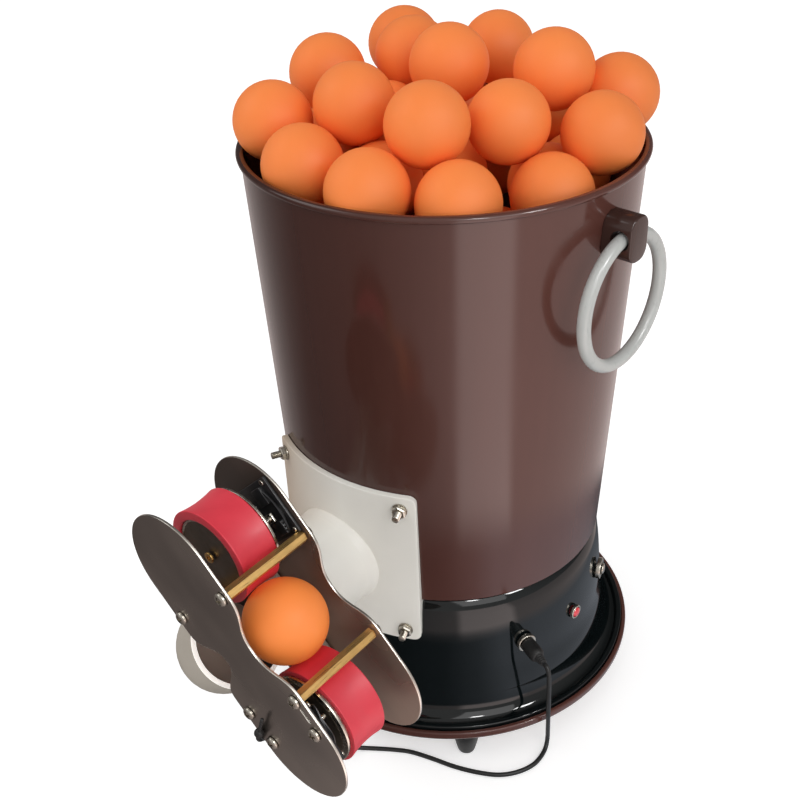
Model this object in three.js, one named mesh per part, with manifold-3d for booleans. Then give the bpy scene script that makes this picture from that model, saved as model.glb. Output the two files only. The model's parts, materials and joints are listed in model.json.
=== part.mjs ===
import * as THREE from 'three';
import { mergeVertices } from 'three/addons/utils/BufferGeometryUtils.js';
import Module from 'manifold-3d';

const wasm = await Module();
wasm.setup();

// Table tennis robot: a hopper of balls on a round base, and a two-wheel head on its outlet tube.
// All lengths are in millimetres, +Z is up, the outlet points along -Y.

// Clearances
const gap = 0.3;
const overrun = 5;
const edge = 1;
const control_stand = 0.7;

// Ball
const ball_radius = 20;
const ball_detail = 2;
const bore_clearance = 2.1;
const tie_radius = 3.5;

// Saucer and rubber feet
const foot_height = 16;
const foot_top_radius = 7.4;
const foot_tip_radius = 4.6;
const foot_inset = 9;
const foot_count = 4;
const saucer_height = 6.2;
const saucer_wall = 2.6;
const saucer_floor = 2.4;
const saucer_chamfer = 1.2;

// Black base housing with its tray insert
const housing_height = 82;
const housing_ledge = 7.1;
const tray_width = 15.2;
const housing_wall = 2.6;
const tray_height = 3.2;
const tray_rim_height = 2.4;
const tray_rim_width = 3;
const housing_outline_shares = [
  [1, 0.02], [1, 0.09], [0.99, 0.21], [0.973, 0.36], [0.963, 0.55],
  [0.948, 0.76], [0.93, 0.9], [0.905, 0.965], [0.865, 1],
];

// Hopper bucket
const hopper_height = 230.3;
const hopper_base_radius = 90.1;
const hopper_rim_radius = 102.1;
const hopper_wall = 1.8;
const hopper_floor = 2;
const bead_reach = 2.15;
const bead_height = 3.4;

// Ring handles and their lugs
const ring_radius = 33.1;
const ring_wire_radius = 3.4;
const ring_clearance = 1.6;
const ring_stand = 9.4;
const lug_drop = 25;
const lug_width = 15;
const lug_height = 23;
const lug_corner = 6.5;
const lug_reach = 15.6;

// Outlet flange and its socket tube
const outlet_drop_deg = 4.3;
const outlet_sink = 1.4;
const flange_width = 98;
const flange_height = 98;
const flange_rise = 4;
const flange_thickness = 3;
const flange_corner = 4;
const tube_wall = 2.3;
const tube_length = 30;
const tube_collar = 1.4;
const spigot_length = 19;
const bolt_inset_x = 7.5;
const bolt_inset_z = 7.8;
const bolt_nut_radius = 4;
const bolt_nut_height = 3.2;
const bolt_tail_radius = 2;
const bolt_tail_length = 5.6;

// Elbow
const elbow_wall = 2.5;
const elbow_length = 51;
const neck_height = 17.3;
const head_arm = 65.2;
const head_rest_deg = 43.1;
const bridge_width = 66;
const bridge_thickness = 9.3;
const bridge_top_drop = 18;
const bridge_bottom_drop = 46;

// Head plates
const plate_pitch = 50.4;
const plate_thickness = 1.5;
const plate_half_length = 77.3;
const plate_half_height = 30;
const waist_half_width = 27;
const waist_depth = 13;
const notch_half_width = 18;
const notch_depth = 18;
const slot_length = 8;
const slot_width = 1.8;
const plate_arc_steps = 9;

// Standoffs and screws
const standoff_x = 27.3;
const standoff_y = 24.6;
const standoff_radius = 3.1;
const screw_radius = 3.4;
const screw_height = 2;
const screw_recess = 1.1;
const screw_recess_width = 1.2;

// Wheels and motors
const wheel_offset = 43.5;
const head_ball_rise = 8.5;
const tyre_width = 20.4;
const tyre_flare = 1;
const tyre_shift = 1.4;
const drum_radius = 19.8;
const drum_recess = 2.4;
const rim_radius = 23.4;
const rim_width = 2.2;
const cap_radius = 2.8;
const cap_height = 1.2;
const mount_radius = 12.4;
const mount_neck_radius = 9;
const mount_lip_height = 3.4;
const board_near = 13.5;
const board_far = 16.5;
const board_top = 27;
const board_thickness = 4.2;
const clamp_width = 4.6;
const clamp_length = 8;
const clamp_height = 4.2;
const clamp_shift = 1.5;
const motor_screw_spread = 22.4;

// Lead and its plug
const socket_azimuth_deg = 66.9;
const socket_height_share = 0.573;
const socket_radius = 5.6;
const socket_length = 2.4;
const plug_radius = 4.4;
const plug_length = 11.5;
const plug_neck_radius = 2.7;
const plug_neck_length = 6;
const lead_radius = 1.3;
const lead_sides = 8;
const lead_steps = 64;
const grommet_radius = 2.2;
const grommet_length = 17;
const grommet_x = 34.4;
const grommet_y = -18.4;
const grommet_tilt_deg = 27;

// Lamp and toggle switch on the base
const lamp_azimuth_deg = 90.2;
const lamp_height_share = 0.58;
const lamp_radius = 4.3;
const lamp_length = 1.8;
const lens_radius = 2.9;
const lens_rise = 1.9;
const toggle_azimuth_deg = 112;
const toggle_height_share = 0.65;
const toggle_nut_radius = 6.4;
const toggle_nut_length = 2.6;
const toggle_lever_length = 4.4;
const toggle_lever_radius = 2.4;
const toggle_tip_radius = 3.2;

// Feeder under the balls
const feeder_play = 5.3;
const feeder_height = 14;
const feeder_rib_width = 21;
const feeder_land = 2.9;
const feeder_cone_top_radius = 10;
const feeder_cone_height = 24;
const feeder_shaft_radius = 4;
const feeder_clearance = 0.6;
const gearmotor_radius = 18.5;
const gearmotor_height = 24;
const motor_can_radius = 14;
const motor_can_height = 30;
const board_width = 64;
const board_depth = 44;
const board_plate_thickness = 1.6;
const board_post_height = 6;
const board_post_radius = 3;

// Round pieces
const fine_sides = 48;
const tube_sides = 32;
const small_sides = 16;
const screw_sides = 10;
const hex_sides = 6;
const tyre_steps = 8;

// Radii that follow from the sizes above
const bore_radius = ball_radius + bore_clearance;
const elbow_radius = bore_radius + elbow_wall;
const socket_bore = elbow_radius + gap;
const tube_radius = socket_bore + tube_wall;
const housing_radius = hopper_base_radius + housing_ledge;
const saucer_radius = housing_radius + tray_width;
const hopper_inside = hopper_rim_radius - hopper_wall;
const feeder_radius = hopper_base_radius - hopper_wall - feeder_play;
const pocket_reach = feeder_radius - ball_radius;
const pocket_pitch = 2 * bore_radius + feeder_rib_width;
const feeder_pockets = Math.floor((2 * Math.PI * pocket_reach) / pocket_pitch);
const feeder_cone_radius = pocket_reach - bore_radius - feeder_land;

// Heights that follow from the sizes above
const saucer_z = foot_height;
const housing_z = saucer_z + saucer_floor + gap;
const housing_top = housing_z + housing_height;
const hopper_z = housing_top + gap;
const floor_top = hopper_z + hopper_floor;
const rim_top = hopper_z + hopper_height;
const deck_z = housing_z + tray_height;
const half_pitch = plate_pitch / 2;
const inner_face = half_pitch - plate_thickness / 2;
const outer_face = half_pitch + plate_thickness / 2;
const outlet_drop = THREE.MathUtils.degToRad(outlet_drop_deg);
const outlet_z = floor_top + ball_radius - outlet_sink;
const axis_z = outlet_z + hopper_base_radius * Math.tan(outlet_drop);

// Material finishes
const finishes = {
  brown: [0x4a2f2b, 0.22, 0],
  black: [0x0b0c0d, 0.15, 0],
  rubber: [0x151515, 0.8, 0],
  grey: [0xb9bab8, 0.4, 0],
  white: [0xdedbd3, 0.55, 0],
  steel: [0x8b8783, 0.25, 1],
  zinc: [0xb8b4aa, 0.3, 1],
  brass: [0xb8924a, 0.3, 1],
  drum: [0x46463f, 0.35, 1],
  red: [0xc7243f, 0.55, 0],
  lens: [0xb01818, 0.2, 0],
  orange: [0xf07a2a, 0.6, 0],
  green: [0x1d5a35, 0.5, 0],
};

function finish(name) {
  const [color, roughness, metalness] = finishes[name];
  return new THREE.MeshStandardMaterial({ color, roughness, metalness });
}

// Closed bodies and booleans

function closed(geometry) {
  const plain = geometry.clone();
  plain.deleteAttribute('normal');
  plain.deleteAttribute('uv');
  const merged = mergeVertices(plain);
  const index = merged.index.array;
  const spots = merged.attributes.position;
  const kept = [];
  let volume = 0;
  const corners = [new THREE.Vector3(), new THREE.Vector3(), new THREE.Vector3()];
  for (let i = 0; i < index.length; i += 3) {
    const [a, b, c] = [index[i], index[i + 1], index[i + 2]];
    if (a === b || b === c || a === c) continue;
    kept.push(a, b, c);
    [a, b, c].forEach((spot, k) => corners[k].fromBufferAttribute(spots, spot));
    volume += corners[0].dot(corners[1].clone().cross(corners[2]));
  }
  if (volume < 0) kept.reverse();
  merged.setIndex(kept);
  return merged;
}

function solid(geometry) {
  const body = closed(geometry);
  const vertProperties = new Float32Array(body.attributes.position.array);
  const triVerts = new Uint32Array(body.index.array);
  return new wasm.Manifold(new wasm.Mesh({ numProp: 3, vertProperties, triVerts }));
}

function shape_of(body) {
  const mesh = body.getMesh();
  const geometry = new THREE.BufferGeometry();
  geometry.setAttribute('position', new THREE.BufferAttribute(mesh.vertProperties, 3));
  geometry.setIndex(new THREE.BufferAttribute(mesh.triVerts, 1));
  return geometry;
}

function piece(name, geometry, colour) {
  const shown = (geometry.attributes ? closed(geometry) : shape_of(geometry)).toNonIndexed();
  shown.computeVertexNormals();
  const mesh = new THREE.Mesh(shown, finish(colour));
  mesh.name = name;
  return mesh;
}

// Basic shapes, all standing along +Z

function lathe(profile, sides = fine_sides) {
  const points = profile.map(([radius, height]) => new THREE.Vector2(radius, height));
  return new THREE.LatheGeometry(points, sides).rotateX(Math.PI / 2);
}

function rod(radius, length, sides = small_sides, top_radius = radius) {
  const geometry = new THREE.CylinderGeometry(top_radius, radius, length, sides);
  return geometry.rotateX(Math.PI / 2).translate(0, 0, length / 2);
}

function block(width, depth, height) {
  return new THREE.BoxGeometry(width, depth, height).translate(0, 0, height / 2);
}

function slab(outline, depth) {
  return new THREE.ExtrudeGeometry(outline, { depth, bevelEnabled: false, curveSegments: plate_arc_steps });
}

function ball_shape(radius) {
  return new THREE.IcosahedronGeometry(radius, ball_detail);
}

function rounded_outline(width, height, corner) {
  const [x, y] = [width / 2, height / 2];
  const outline = new THREE.Shape();
  outline.moveTo(corner - x, -y);
  outline.absarc(x - corner, corner - y, corner, -Math.PI / 2, 0);
  outline.absarc(x - corner, y - corner, corner, 0, Math.PI / 2);
  outline.absarc(corner - x, y - corner, corner, Math.PI / 2, Math.PI);
  outline.absarc(corner - x, corner - y, corner, Math.PI, 1.5 * Math.PI);
  outline.closePath();
  return outline;
}

// Saucer and feet

function saucer() {
  const top = saucer_z + saucer_height;
  const inside = saucer_radius - saucer_wall;
  return lathe([
    [0, saucer_z],
    [saucer_radius - saucer_chamfer, saucer_z],
    [saucer_radius, saucer_z + saucer_chamfer],
    [saucer_radius, top],
    [inside, top],
    [inside, saucer_z + saucer_floor],
    [0, saucer_z + saucer_floor],
  ]);
}

function foot() {
  return rod(foot_tip_radius, foot_height - gap, small_sides, foot_top_radius);
}

function add_saucer(robot) {
  robot.add(piece('saucer', saucer(), 'brown'));
  const reach = saucer_radius - foot_inset;
  for (let i = 0; i < foot_count; i += 1) {
    const turn = ((i + 0.5) * 2 * Math.PI) / foot_count;
    const mesh = piece(`foot_${i + 1}`, foot(), 'rubber');
    mesh.position.set(reach * Math.cos(turn), reach * Math.sin(turn), 0);
    robot.add(mesh);
  }
}

// Base housing

function housing_outline() {
  const rise = housing_top - deck_z;
  return housing_outline_shares.map(([out, up]) => [out * housing_radius, deck_z + up * rise]);
}

function housing_radius_at(height) {
  const outline = housing_outline();
  for (let i = 1; i < outline.length; i += 1) {
    const [low, high] = [outline[i - 1], outline[i]];
    if (height <= high[1]) {
      const along = (height - low[1]) / (high[1] - low[1]);
      return low[0] + along * (high[0] - low[0]);
    }
  }
  return outline.at(-1)[0];
}

function base_housing() {
  const tray_radius = saucer_radius - saucer_wall - gap;
  const rim_z = deck_z + tray_rim_height;
  const ceiling = housing_top - housing_wall;
  const inner = housing_outline_shares[0][0] * housing_radius - housing_wall;
  const shoulder = housing_outline().at(-3);
  return solid(lathe([
    [inner - housing_wall, housing_z],
    [tray_radius, housing_z],
    [tray_radius, rim_z - edge],
    [tray_radius - edge, rim_z],
    [tray_radius - tray_rim_width, rim_z],
    [tray_radius - tray_rim_width - edge, deck_z],
    ...housing_outline(),
    [feeder_shaft_radius + edge, housing_top],
    [feeder_shaft_radius + edge, ceiling],
    [shoulder[0] - housing_wall - edge, ceiling],
    [shoulder[0] - housing_wall, ceiling - housing_wall],
    [inner - housing_wall, deck_z + housing_wall],
    [inner - housing_wall, housing_z],
  ]));
}

// Hopper bucket

function hopper_radius_at(height) {
  const along = (height - hopper_z) / hopper_height;
  return hopper_base_radius + along * (hopper_rim_radius - hopper_base_radius);
}

function outlet_cut(radius, from, to) {
  const cutter = rod(radius, to - from, tube_sides).translate(0, 0, from);
  cutter.rotateX(Math.PI / 2 + outlet_drop);
  return solid(cutter.translate(0, 0, axis_z));
}

function hopper() {
  const neck = rim_top - bead_height;
  const lip = hopper_radius_at(neck);
  const walls = solid(lathe([
    [feeder_shaft_radius + edge, hopper_z],
    [hopper_base_radius, hopper_z],
    [lip, neck],
    [lip + bead_reach, neck],
    [hopper_rim_radius + bead_reach, rim_top - edge],
    [hopper_rim_radius + bead_reach - edge, rim_top],
    [hopper_inside, rim_top],
    [hopper_radius_at(floor_top) - hopper_wall, floor_top],
    [feeder_shaft_radius + edge, floor_top],
    [feeder_shaft_radius + edge, hopper_z],
  ]));
  const hole = outlet_cut(bore_radius, feeder_radius + overrun / 2, hopper_rim_radius + overrun);
  const sill = solid(block(2 * hopper_rim_radius, 2 * hopper_rim_radius, hopper_floor + gap));
  return walls.subtract(hole.subtract(sill.translate(0, 0, hopper_z - gap)));
}

// Handles: a lug on each side of the hopper, with a ring through it

const ring_hang_z = rim_top - lug_drop;
const ring_x = hopper_radius_at(ring_hang_z) + ring_stand;

function lug() {
  const outside = hopper_radius_at(ring_hang_z) + lug_reach;
  const body = slab(rounded_outline(lug_height, lug_width, lug_corner), outside);
  body.rotateY(Math.PI / 2).translate(0, 0, ring_hang_z);
  const wall = solid(lathe([
    [0, hopper_z],
    [hopper_base_radius + gap, hopper_z],
    [hopper_rim_radius + gap, rim_top],
    [0, rim_top],
  ]));
  const hole = rod(ring_wire_radius + ring_clearance, lug_width + overrun);
  hole.translate(0, 0, -(lug_width + overrun) / 2).rotateX(Math.PI / 2);
  hole.translate(ring_x, 0, ring_hang_z);
  return solid(body).subtract(wall).subtract(solid(hole));
}

function ring() {
  const wire = new THREE.TorusGeometry(ring_radius, ring_wire_radius, screw_sides, tube_sides);
  return wire.rotateY(Math.PI / 2).translate(ring_x, 0, ring_hang_z - ring_radius);
}

function add_handles(robot) {
  ['right', 'left'].forEach((side, i) => {
    const lug_piece = piece(`handle_lug_${side}`, lug(), 'brown');
    const ring_piece = piece(`handle_ring_${side}`, ring(), 'grey');
    for (const mesh of [lug_piece, ring_piece]) {
      mesh.rotation.z = i * Math.PI;
      robot.add(mesh);
    }
  });
}

// Outlet flange with its socket tube, seated on the hopper and on the housing

const flange_z = outlet_z + flange_rise;
const flange_low = flange_z - flange_height / 2;
const flange_high = flange_z + flange_height / 2;

function flange_outside_at(height) {
  const foot = housing_radius_at(flange_low);
  const head = hopper_radius_at(flange_high);
  const along = (height - flange_low) / flange_height;
  return foot + along * (head - foot) + gap + flange_thickness;
}

const wall_reach = hopper_base_radius / Math.cos(outlet_drop);
const flange_reach = flange_outside_at(outlet_z) / Math.cos(outlet_drop);
const tube_end = flange_reach + tube_length;
const spigot_start = tube_end - spigot_length;
const head_reach = tube_end + elbow_length;

function seat_solid() {
  const housing = housing_outline().map(([radius, height]) => [radius + gap, height]);
  const base = solid(lathe([[0, deck_z], ...housing, [0, housing_top]]));
  const bucket = solid(lathe([
    [0, hopper_z - gap],
    [hopper_base_radius + gap, hopper_z - gap],
    [hopper_rim_radius + gap, rim_top],
    [0, rim_top],
  ]));
  return base.add(bucket);
}

function outlet_flange() {
  const shell = solid(lathe([
    [0, flange_low],
    [flange_outside_at(flange_low), flange_low],
    [flange_outside_at(flange_high), flange_high],
    [0, flange_high],
  ]));
  const outline = slab(rounded_outline(flange_width, flange_height, flange_corner), hopper_rim_radius);
  outline.rotateX(Math.PI / 2).translate(0, -(hopper_base_radius / 2), flange_z);
  const plate = shell.intersect(solid(outline));
  const tube = outlet_cut(tube_radius, wall_reach - overrun, tube_end);
  const collar_end = flange_reach + flange_thickness / 2;
  const collar = outlet_cut(tube_radius + tube_collar, wall_reach - overrun, collar_end);
  const bore = outlet_cut(bore_radius, hopper_base_radius / 2, tube_end + overrun);
  const socket = outlet_cut(socket_bore, spigot_start - gap, tube_end + overrun);
  return plate.add(tube).add(collar).subtract(seat_solid()).subtract(bore).subtract(socket);
}

function bolt() {
  const nut = solid(rod(bolt_nut_radius, bolt_nut_height, hex_sides));
  const tail = rod(bolt_tail_radius, bolt_nut_height + bolt_tail_length, screw_sides);
  return nut.add(solid(tail));
}

function aim(mesh, azimuth, radius, height) {
  mesh.rotation.set(Math.PI / 2, 0, azimuth, 'ZXY');
  mesh.position.set(radius * Math.sin(azimuth), -radius * Math.cos(azimuth), height);
}

function add_flange(robot) {
  robot.add(piece('outlet_flange', outlet_flange(), 'white'));
  let number = 1;
  for (const up of [1, -1]) {
    for (const side of [1, -1]) {
      const height = flange_z + up * (flange_height / 2 - bolt_inset_z);
      const outside = flange_outside_at(height);
      const across = flange_width / 2 - bolt_inset_x;
      const mesh = piece(`flange_bolt_${number}`, bolt(), 'zinc');
      aim(mesh, side * Math.asin(across / outside), outside + gap, height);
      robot.add(mesh);
      number += 1;
    }
  }
}

// Sockets, lamp and switch on the housing

function at_housing(mesh, azimuth_deg, share, out) {
  const height = housing_z + share * housing_height;
  aim(mesh, THREE.MathUtils.degToRad(azimuth_deg), housing_radius_at(height) + out, height);
  return mesh;
}

function washer(outer, inner, length) {
  return lathe([[inner, 0], [outer, 0], [outer, length - edge / 2], [outer - edge / 2, length],
    [inner, length], [inner, 0]], small_sides);
}

function plug() {
  return lathe([
    [0, 0],
    [plug_radius, 0],
    [plug_radius, plug_length - edge],
    [plug_radius - edge, plug_length],
    [plug_neck_radius, plug_length],
    [plug_neck_radius - edge / 2, plug_length + plug_neck_length],
    [0, plug_length + plug_neck_length],
  ], small_sides);
}

function lens() {
  return lathe([[0, 0], [lens_radius, 0], [lens_radius, lamp_length], [lens_radius / 2, lamp_length + lens_rise / 2],
    [0, lamp_length + lens_rise / 2]], small_sides);
}

function toggle_lever() {
  return lathe([
    [0, 0],
    [toggle_lever_radius, 0],
    [toggle_tip_radius, toggle_lever_length - edge],
    [toggle_tip_radius - edge / 2, toggle_lever_length],
    [0, toggle_lever_length],
  ], screw_sides);
}

function add_controls(robot) {
  const socket = piece('power_socket_nut', washer(socket_radius, plug_radius - edge, socket_length), 'zinc');
  robot.add(at_housing(socket, socket_azimuth_deg, socket_height_share, control_stand));
  const plug_out = control_stand + socket_length + gap;
  robot.add(at_housing(piece('lead_plug', plug(), 'rubber'), socket_azimuth_deg, socket_height_share, plug_out));
  const bezel = piece('lamp_bezel', washer(lamp_radius, lens_radius + gap, lamp_length), 'zinc');
  robot.add(at_housing(bezel, lamp_azimuth_deg, lamp_height_share, control_stand));
  robot.add(at_housing(piece('lamp_lens', lens(), 'lens'), lamp_azimuth_deg, lamp_height_share, control_stand));
  const nut = piece('toggle_nut', washer(toggle_nut_radius, toggle_tip_radius + edge, toggle_nut_length), 'zinc');
  robot.add(at_housing(nut, toggle_azimuth_deg, toggle_height_share, control_stand));
  const lever = piece('toggle_lever', toggle_lever(), 'zinc');
  robot.add(at_housing(lever, toggle_azimuth_deg, toggle_height_share, control_stand));
}

// Feeder wheel, its motor and the control board

const feeder_z = floor_top + feeder_clearance;
const feeder_top = feeder_z + feeder_height;
const motor_top = housing_top - housing_wall - gap;

function feeder_wheel() {
  const shaft_length = feeder_z - motor_top + edge;
  let body = solid(rod(feeder_radius, feeder_height, fine_sides).translate(0, 0, feeder_z));
  for (let i = 0; i < feeder_pockets; i += 1) {
    const turn = ((i + 0.5) * 2 * Math.PI) / feeder_pockets;
    const pocket = rod(bore_radius, feeder_height + 2 * overrun, tube_sides);
    pocket.translate(pocket_reach * Math.cos(turn), pocket_reach * Math.sin(turn), feeder_z - overrun);
    body = body.subtract(solid(pocket));
  }
  const cone = rod(feeder_cone_radius, feeder_cone_height, tube_sides, feeder_cone_top_radius);
  const shaft = rod(feeder_shaft_radius, shaft_length).translate(0, 0, motor_top + gap);
  return body.add(solid(cone.translate(0, 0, feeder_top - edge))).add(solid(shaft));
}

function feeder_motor() {
  const gearbox_z = motor_top - gearmotor_height;
  return lathe([
    [0, gearbox_z - motor_can_height],
    [motor_can_radius, gearbox_z - motor_can_height],
    [motor_can_radius, gearbox_z],
    [gearmotor_radius, gearbox_z],
    [gearmotor_radius, motor_top],
    [0, motor_top],
  ], tube_sides);
}

function control_board() {
  let body = solid(block(board_width, board_depth, board_plate_thickness).translate(0, 0, board_post_height));
  for (const x of [-1, 1]) {
    for (const y of [-1, 1]) {
      const post = rod(board_post_radius, board_post_height + board_plate_thickness / 2, screw_sides);
      post.translate(x * (board_width / 2 - board_post_radius), y * (board_depth / 2 - board_post_radius), 0);
      body = body.add(solid(post));
    }
  }
  return body;
}

function add_feeder(robot) {
  robot.add(piece('feeder_wheel', feeder_wheel(), 'white'));
  robot.add(piece('feeder_motor', feeder_motor(), 'steel'));
  const board = piece('control_board', control_board(), 'green');
  board.position.set(0, gearmotor_radius + board_depth / 2 + edge, housing_z);
  robot.add(board);
}

// Head frame: x along the plates, y towards the ball's exit, z outwards along the outlet tube

function head_frame() {
  const rest = THREE.MathUtils.degToRad(head_rest_deg);
  const outwards = new THREE.Vector3(0, -Math.cos(outlet_drop), -Math.sin(outlet_drop));
  const side = new THREE.Vector3(1, 0, 0);
  const rise = new THREE.Vector3().crossVectors(outwards, side);
  const exit = side.clone().multiplyScalar(Math.cos(rest)).addScaledVector(rise, Math.sin(rest));
  const along = new THREE.Vector3().crossVectors(exit, outwards);
  const group = new THREE.Group();
  const matrix = new THREE.Matrix4().makeBasis(along, exit, outwards);
  const spot = new THREE.Vector3(0, 0, axis_z).addScaledVector(outwards, head_reach).addScaledVector(exit, head_arm);
  matrix.setPosition(spot).decompose(group.position, group.quaternion, group.scale);
  return group;
}

// Elbow: a socket spigot, a round corner, a short mouth and the bridge that carries the plates

function elbow() {
  const spigot = head_reach - spigot_start;
  const run = rod(elbow_radius, spigot, tube_sides).translate(0, -head_arm, -spigot);
  const corner = new THREE.SphereGeometry(elbow_radius, tube_sides, tube_sides / 2).rotateX(Math.PI / 2);
  const mouth = rod(elbow_radius, neck_height, tube_sides).rotateX(-Math.PI / 2);
  const bore = rod(bore_radius, spigot + overrun, tube_sides).translate(0, -head_arm, -spigot - overrun);
  const hollow = new THREE.SphereGeometry(bore_radius, tube_sides, tube_sides / 2).rotateX(Math.PI / 2);
  const column = rod(bore_radius, head_arm, tube_sides).rotateX(-Math.PI / 2);
  for (const shape of [corner, mouth, hollow, column]) shape.translate(0, -head_arm, 0);
  const bridge_height = bridge_bottom_drop - bridge_top_drop;
  const bridge = block(bridge_width, bridge_height, bridge_thickness);
  bridge.translate(0, -(bridge_bottom_drop + bridge_top_drop) / 2, gap - inner_face);
  let body = solid(run).add(solid(corner)).add(solid(mouth)).add(solid(bridge));
  body = body.subtract(solid(bore)).subtract(solid(hollow)).subtract(solid(column));
  for (const x of [-standoff_x, standoff_x]) {
    const hole = rod(standoff_radius + gap, bridge_thickness + 2 * overrun);
    hole.translate(x, -standoff_y, -inner_face - overrun);
    body = body.subtract(solid(hole));
  }
  return body;
}

// Side plates: round ends, a wide waist on the exit side and a deep notch over the elbow

function waist_curve(outline, half_width, depth, side) {
  const level = side * plate_half_height;
  const floor = side * (plate_half_height - depth);
  const pull = half_width / 2;
  outline.bezierCurveTo(side * pull, level, side * pull, floor, 0, floor);
  outline.bezierCurveTo(-side * pull, floor, -side * pull, level, -side * half_width, level);
}

function plate_outline() {
  const end = plate_half_length - plate_half_height;
  const outline = new THREE.Shape();
  outline.absarc(-end, 0, plate_half_height, Math.PI / 2, 1.5 * Math.PI);
  outline.lineTo(-notch_half_width, -plate_half_height);
  waist_curve(outline, notch_half_width, notch_depth, -1);
  outline.absarc(end, 0, plate_half_height, -Math.PI / 2, Math.PI / 2);
  outline.lineTo(waist_half_width, plate_half_height);
  waist_curve(outline, waist_half_width, waist_depth, 1);
  outline.closePath();
  return outline;
}

function slot_outline() {
  const slot = new THREE.Path();
  const start = (standoff_x + wheel_offset) / 2 - slot_length / 2;
  slot.moveTo(start, standoff_y - slot_width / 2);
  slot.lineTo(start + slot_length, standoff_y - slot_width / 2);
  slot.lineTo(start + slot_length, standoff_y + slot_width / 2);
  slot.lineTo(start, standoff_y + slot_width / 2);
  return slot;
}

function side_plate(slotted) {
  const outline = plate_outline();
  if (slotted) outline.holes.push(slot_outline());
  return slab(outline, plate_thickness).translate(0, 0, -plate_thickness / 2);
}

function standoff() {
  const length = 2 * (inner_face - gap);
  return rod(standoff_radius, length, hex_sides).translate(0, 0, -length / 2);
}

function screw() {
  let body = solid(lathe([
    [0, 0],
    [screw_radius, 0],
    [screw_radius, screw_height / 2],
    [screw_radius - edge, screw_height],
    [0, screw_height],
  ], screw_sides));
  for (const turn of [0, Math.PI / 2]) {
    const recess = block(screw_radius, screw_recess_width, screw_recess + overrun);
    recess.rotateZ(turn).translate(0, 0, screw_height - screw_recess);
    body = body.subtract(solid(recess));
  }
  return body;
}

function add_plates(head) {
  const near = piece('near_plate', side_plate(true), 'steel');
  near.position.z = half_pitch;
  const far = piece('far_plate', side_plate(false), 'steel');
  far.position.z = -half_pitch;
  head.add(near, far);
  let number = 1;
  for (const y of [standoff_y, -standoff_y]) {
    for (const x of [-standoff_x, standoff_x]) {
      const post = piece(`standoff_${number}`, standoff(), 'brass');
      post.position.set(x, y, 0);
      const near_screw = piece(`near_screw_${number}`, screw(), 'zinc');
      near_screw.position.set(x, y, outer_face + gap);
      const far_screw = piece(`far_screw_${number}`, screw(), 'zinc');
      far_screw.position.set(x, y, -outer_face - gap);
      far_screw.rotation.x = Math.PI;
      head.add(post, near_screw, far_screw);
      number += 1;
    }
  }
}

// Drive wheels, built with the motor at -z, as on the far plate. The ball rests on both tyres.

const waist_radius = Math.hypot(wheel_offset, head_ball_rise) - ball_radius - gap;
const tyre_radius = waist_radius + tyre_flare;
const tyre_back = -tyre_shift - tyre_width / 2;
const tyre_front = tyre_back + tyre_width;
const rim_back = tyre_back - gap - rim_width;
const mount_top = rim_back - gap;

function tyre() {
  const profile = [[drum_radius + gap, tyre_back]];
  for (let i = 0; i <= tyre_steps; i += 1) {
    const along = (2 * i) / tyre_steps - 1;
    const radius = waist_radius + tyre_flare * along * along;
    profile.push([radius, (tyre_front + tyre_back) / 2 + (along * tyre_width) / 2]);
  }
  profile.push([drum_radius + gap, tyre_front], [drum_radius + gap, tyre_back]);
  return lathe(profile, tube_sides);
}

function drum() {
  const front = tyre_front - drum_recess;
  return lathe([
    [0, rim_back],
    [drum_radius, rim_back],
    [drum_radius, front - edge],
    [drum_radius - edge, front],
    [0, front],
  ], tube_sides);
}

function rim() {
  return lathe([
    [drum_radius + gap, rim_back],
    [rim_radius, rim_back],
    [rim_radius, rim_back + rim_width],
    [drum_radius + gap, rim_back + rim_width],
    [drum_radius + gap, rim_back],
  ], tube_sides);
}

function motor_mount() {
  const seat = -inner_face + gap;
  const base = solid(lathe([
    [0, seat],
    [mount_neck_radius, seat],
    [mount_neck_radius, mount_top - mount_lip_height],
    [mount_radius, mount_top - mount_lip_height],
    [mount_radius, mount_top],
    [0, mount_top],
  ], tube_sides));
  const board = block(board_near + board_far, board_top, board_thickness);
  board.translate((board_near - board_far) / 2, board_top / 2, seat);
  return base.add(solid(board));
}

function add_wheel(head, name, side) {
  const wheel = new THREE.Group();
  wheel.position.x = side * wheel_offset;
  if (side > 0) wheel.rotation.y = Math.PI;
  const cap = piece(`${name}_cap`, rod(cap_radius, cap_height, screw_sides), 'brass');
  cap.position.z = tyre_front - drum_recess + gap;
  const clamp = piece(`${name}_lead_clamp`, block(clamp_width, clamp_length, clamp_height), 'zinc');
  const clamp_y = mount_radius + gap + clamp_length / 2;
  clamp.position.set(clamp_shift, clamp_y, -inner_face + board_thickness + 2 * gap);
  wheel.add(
    piece(`${name}_tyre`, tyre(), 'red'),
    piece(`${name}_drum`, drum(), 'drum'),
    piece(`${name}_rim`, rim(), 'zinc'),
    piece(`${name}_motor_mount`, motor_mount(), 'black'),
    cap,
    clamp,
  );
  head.add(wheel);
}

function add_motor_screws(head) {
  [1, -1].forEach((up, i) => {
    const mesh = piece(`motor_screw_${i + 1}`, screw(), 'zinc');
    mesh.position.set(wheel_offset + edge, up * motor_screw_spread, outer_face + gap);
    head.add(mesh);
  });
}

// Strain relief of the lead where it goes over the edge of the near plate

function grommet() {
  const body = rod(grommet_radius, grommet_length, screw_sides);
  return body.rotateX(Math.PI / 2).rotateZ(THREE.MathUtils.degToRad(grommet_tilt_deg));
}

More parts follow.
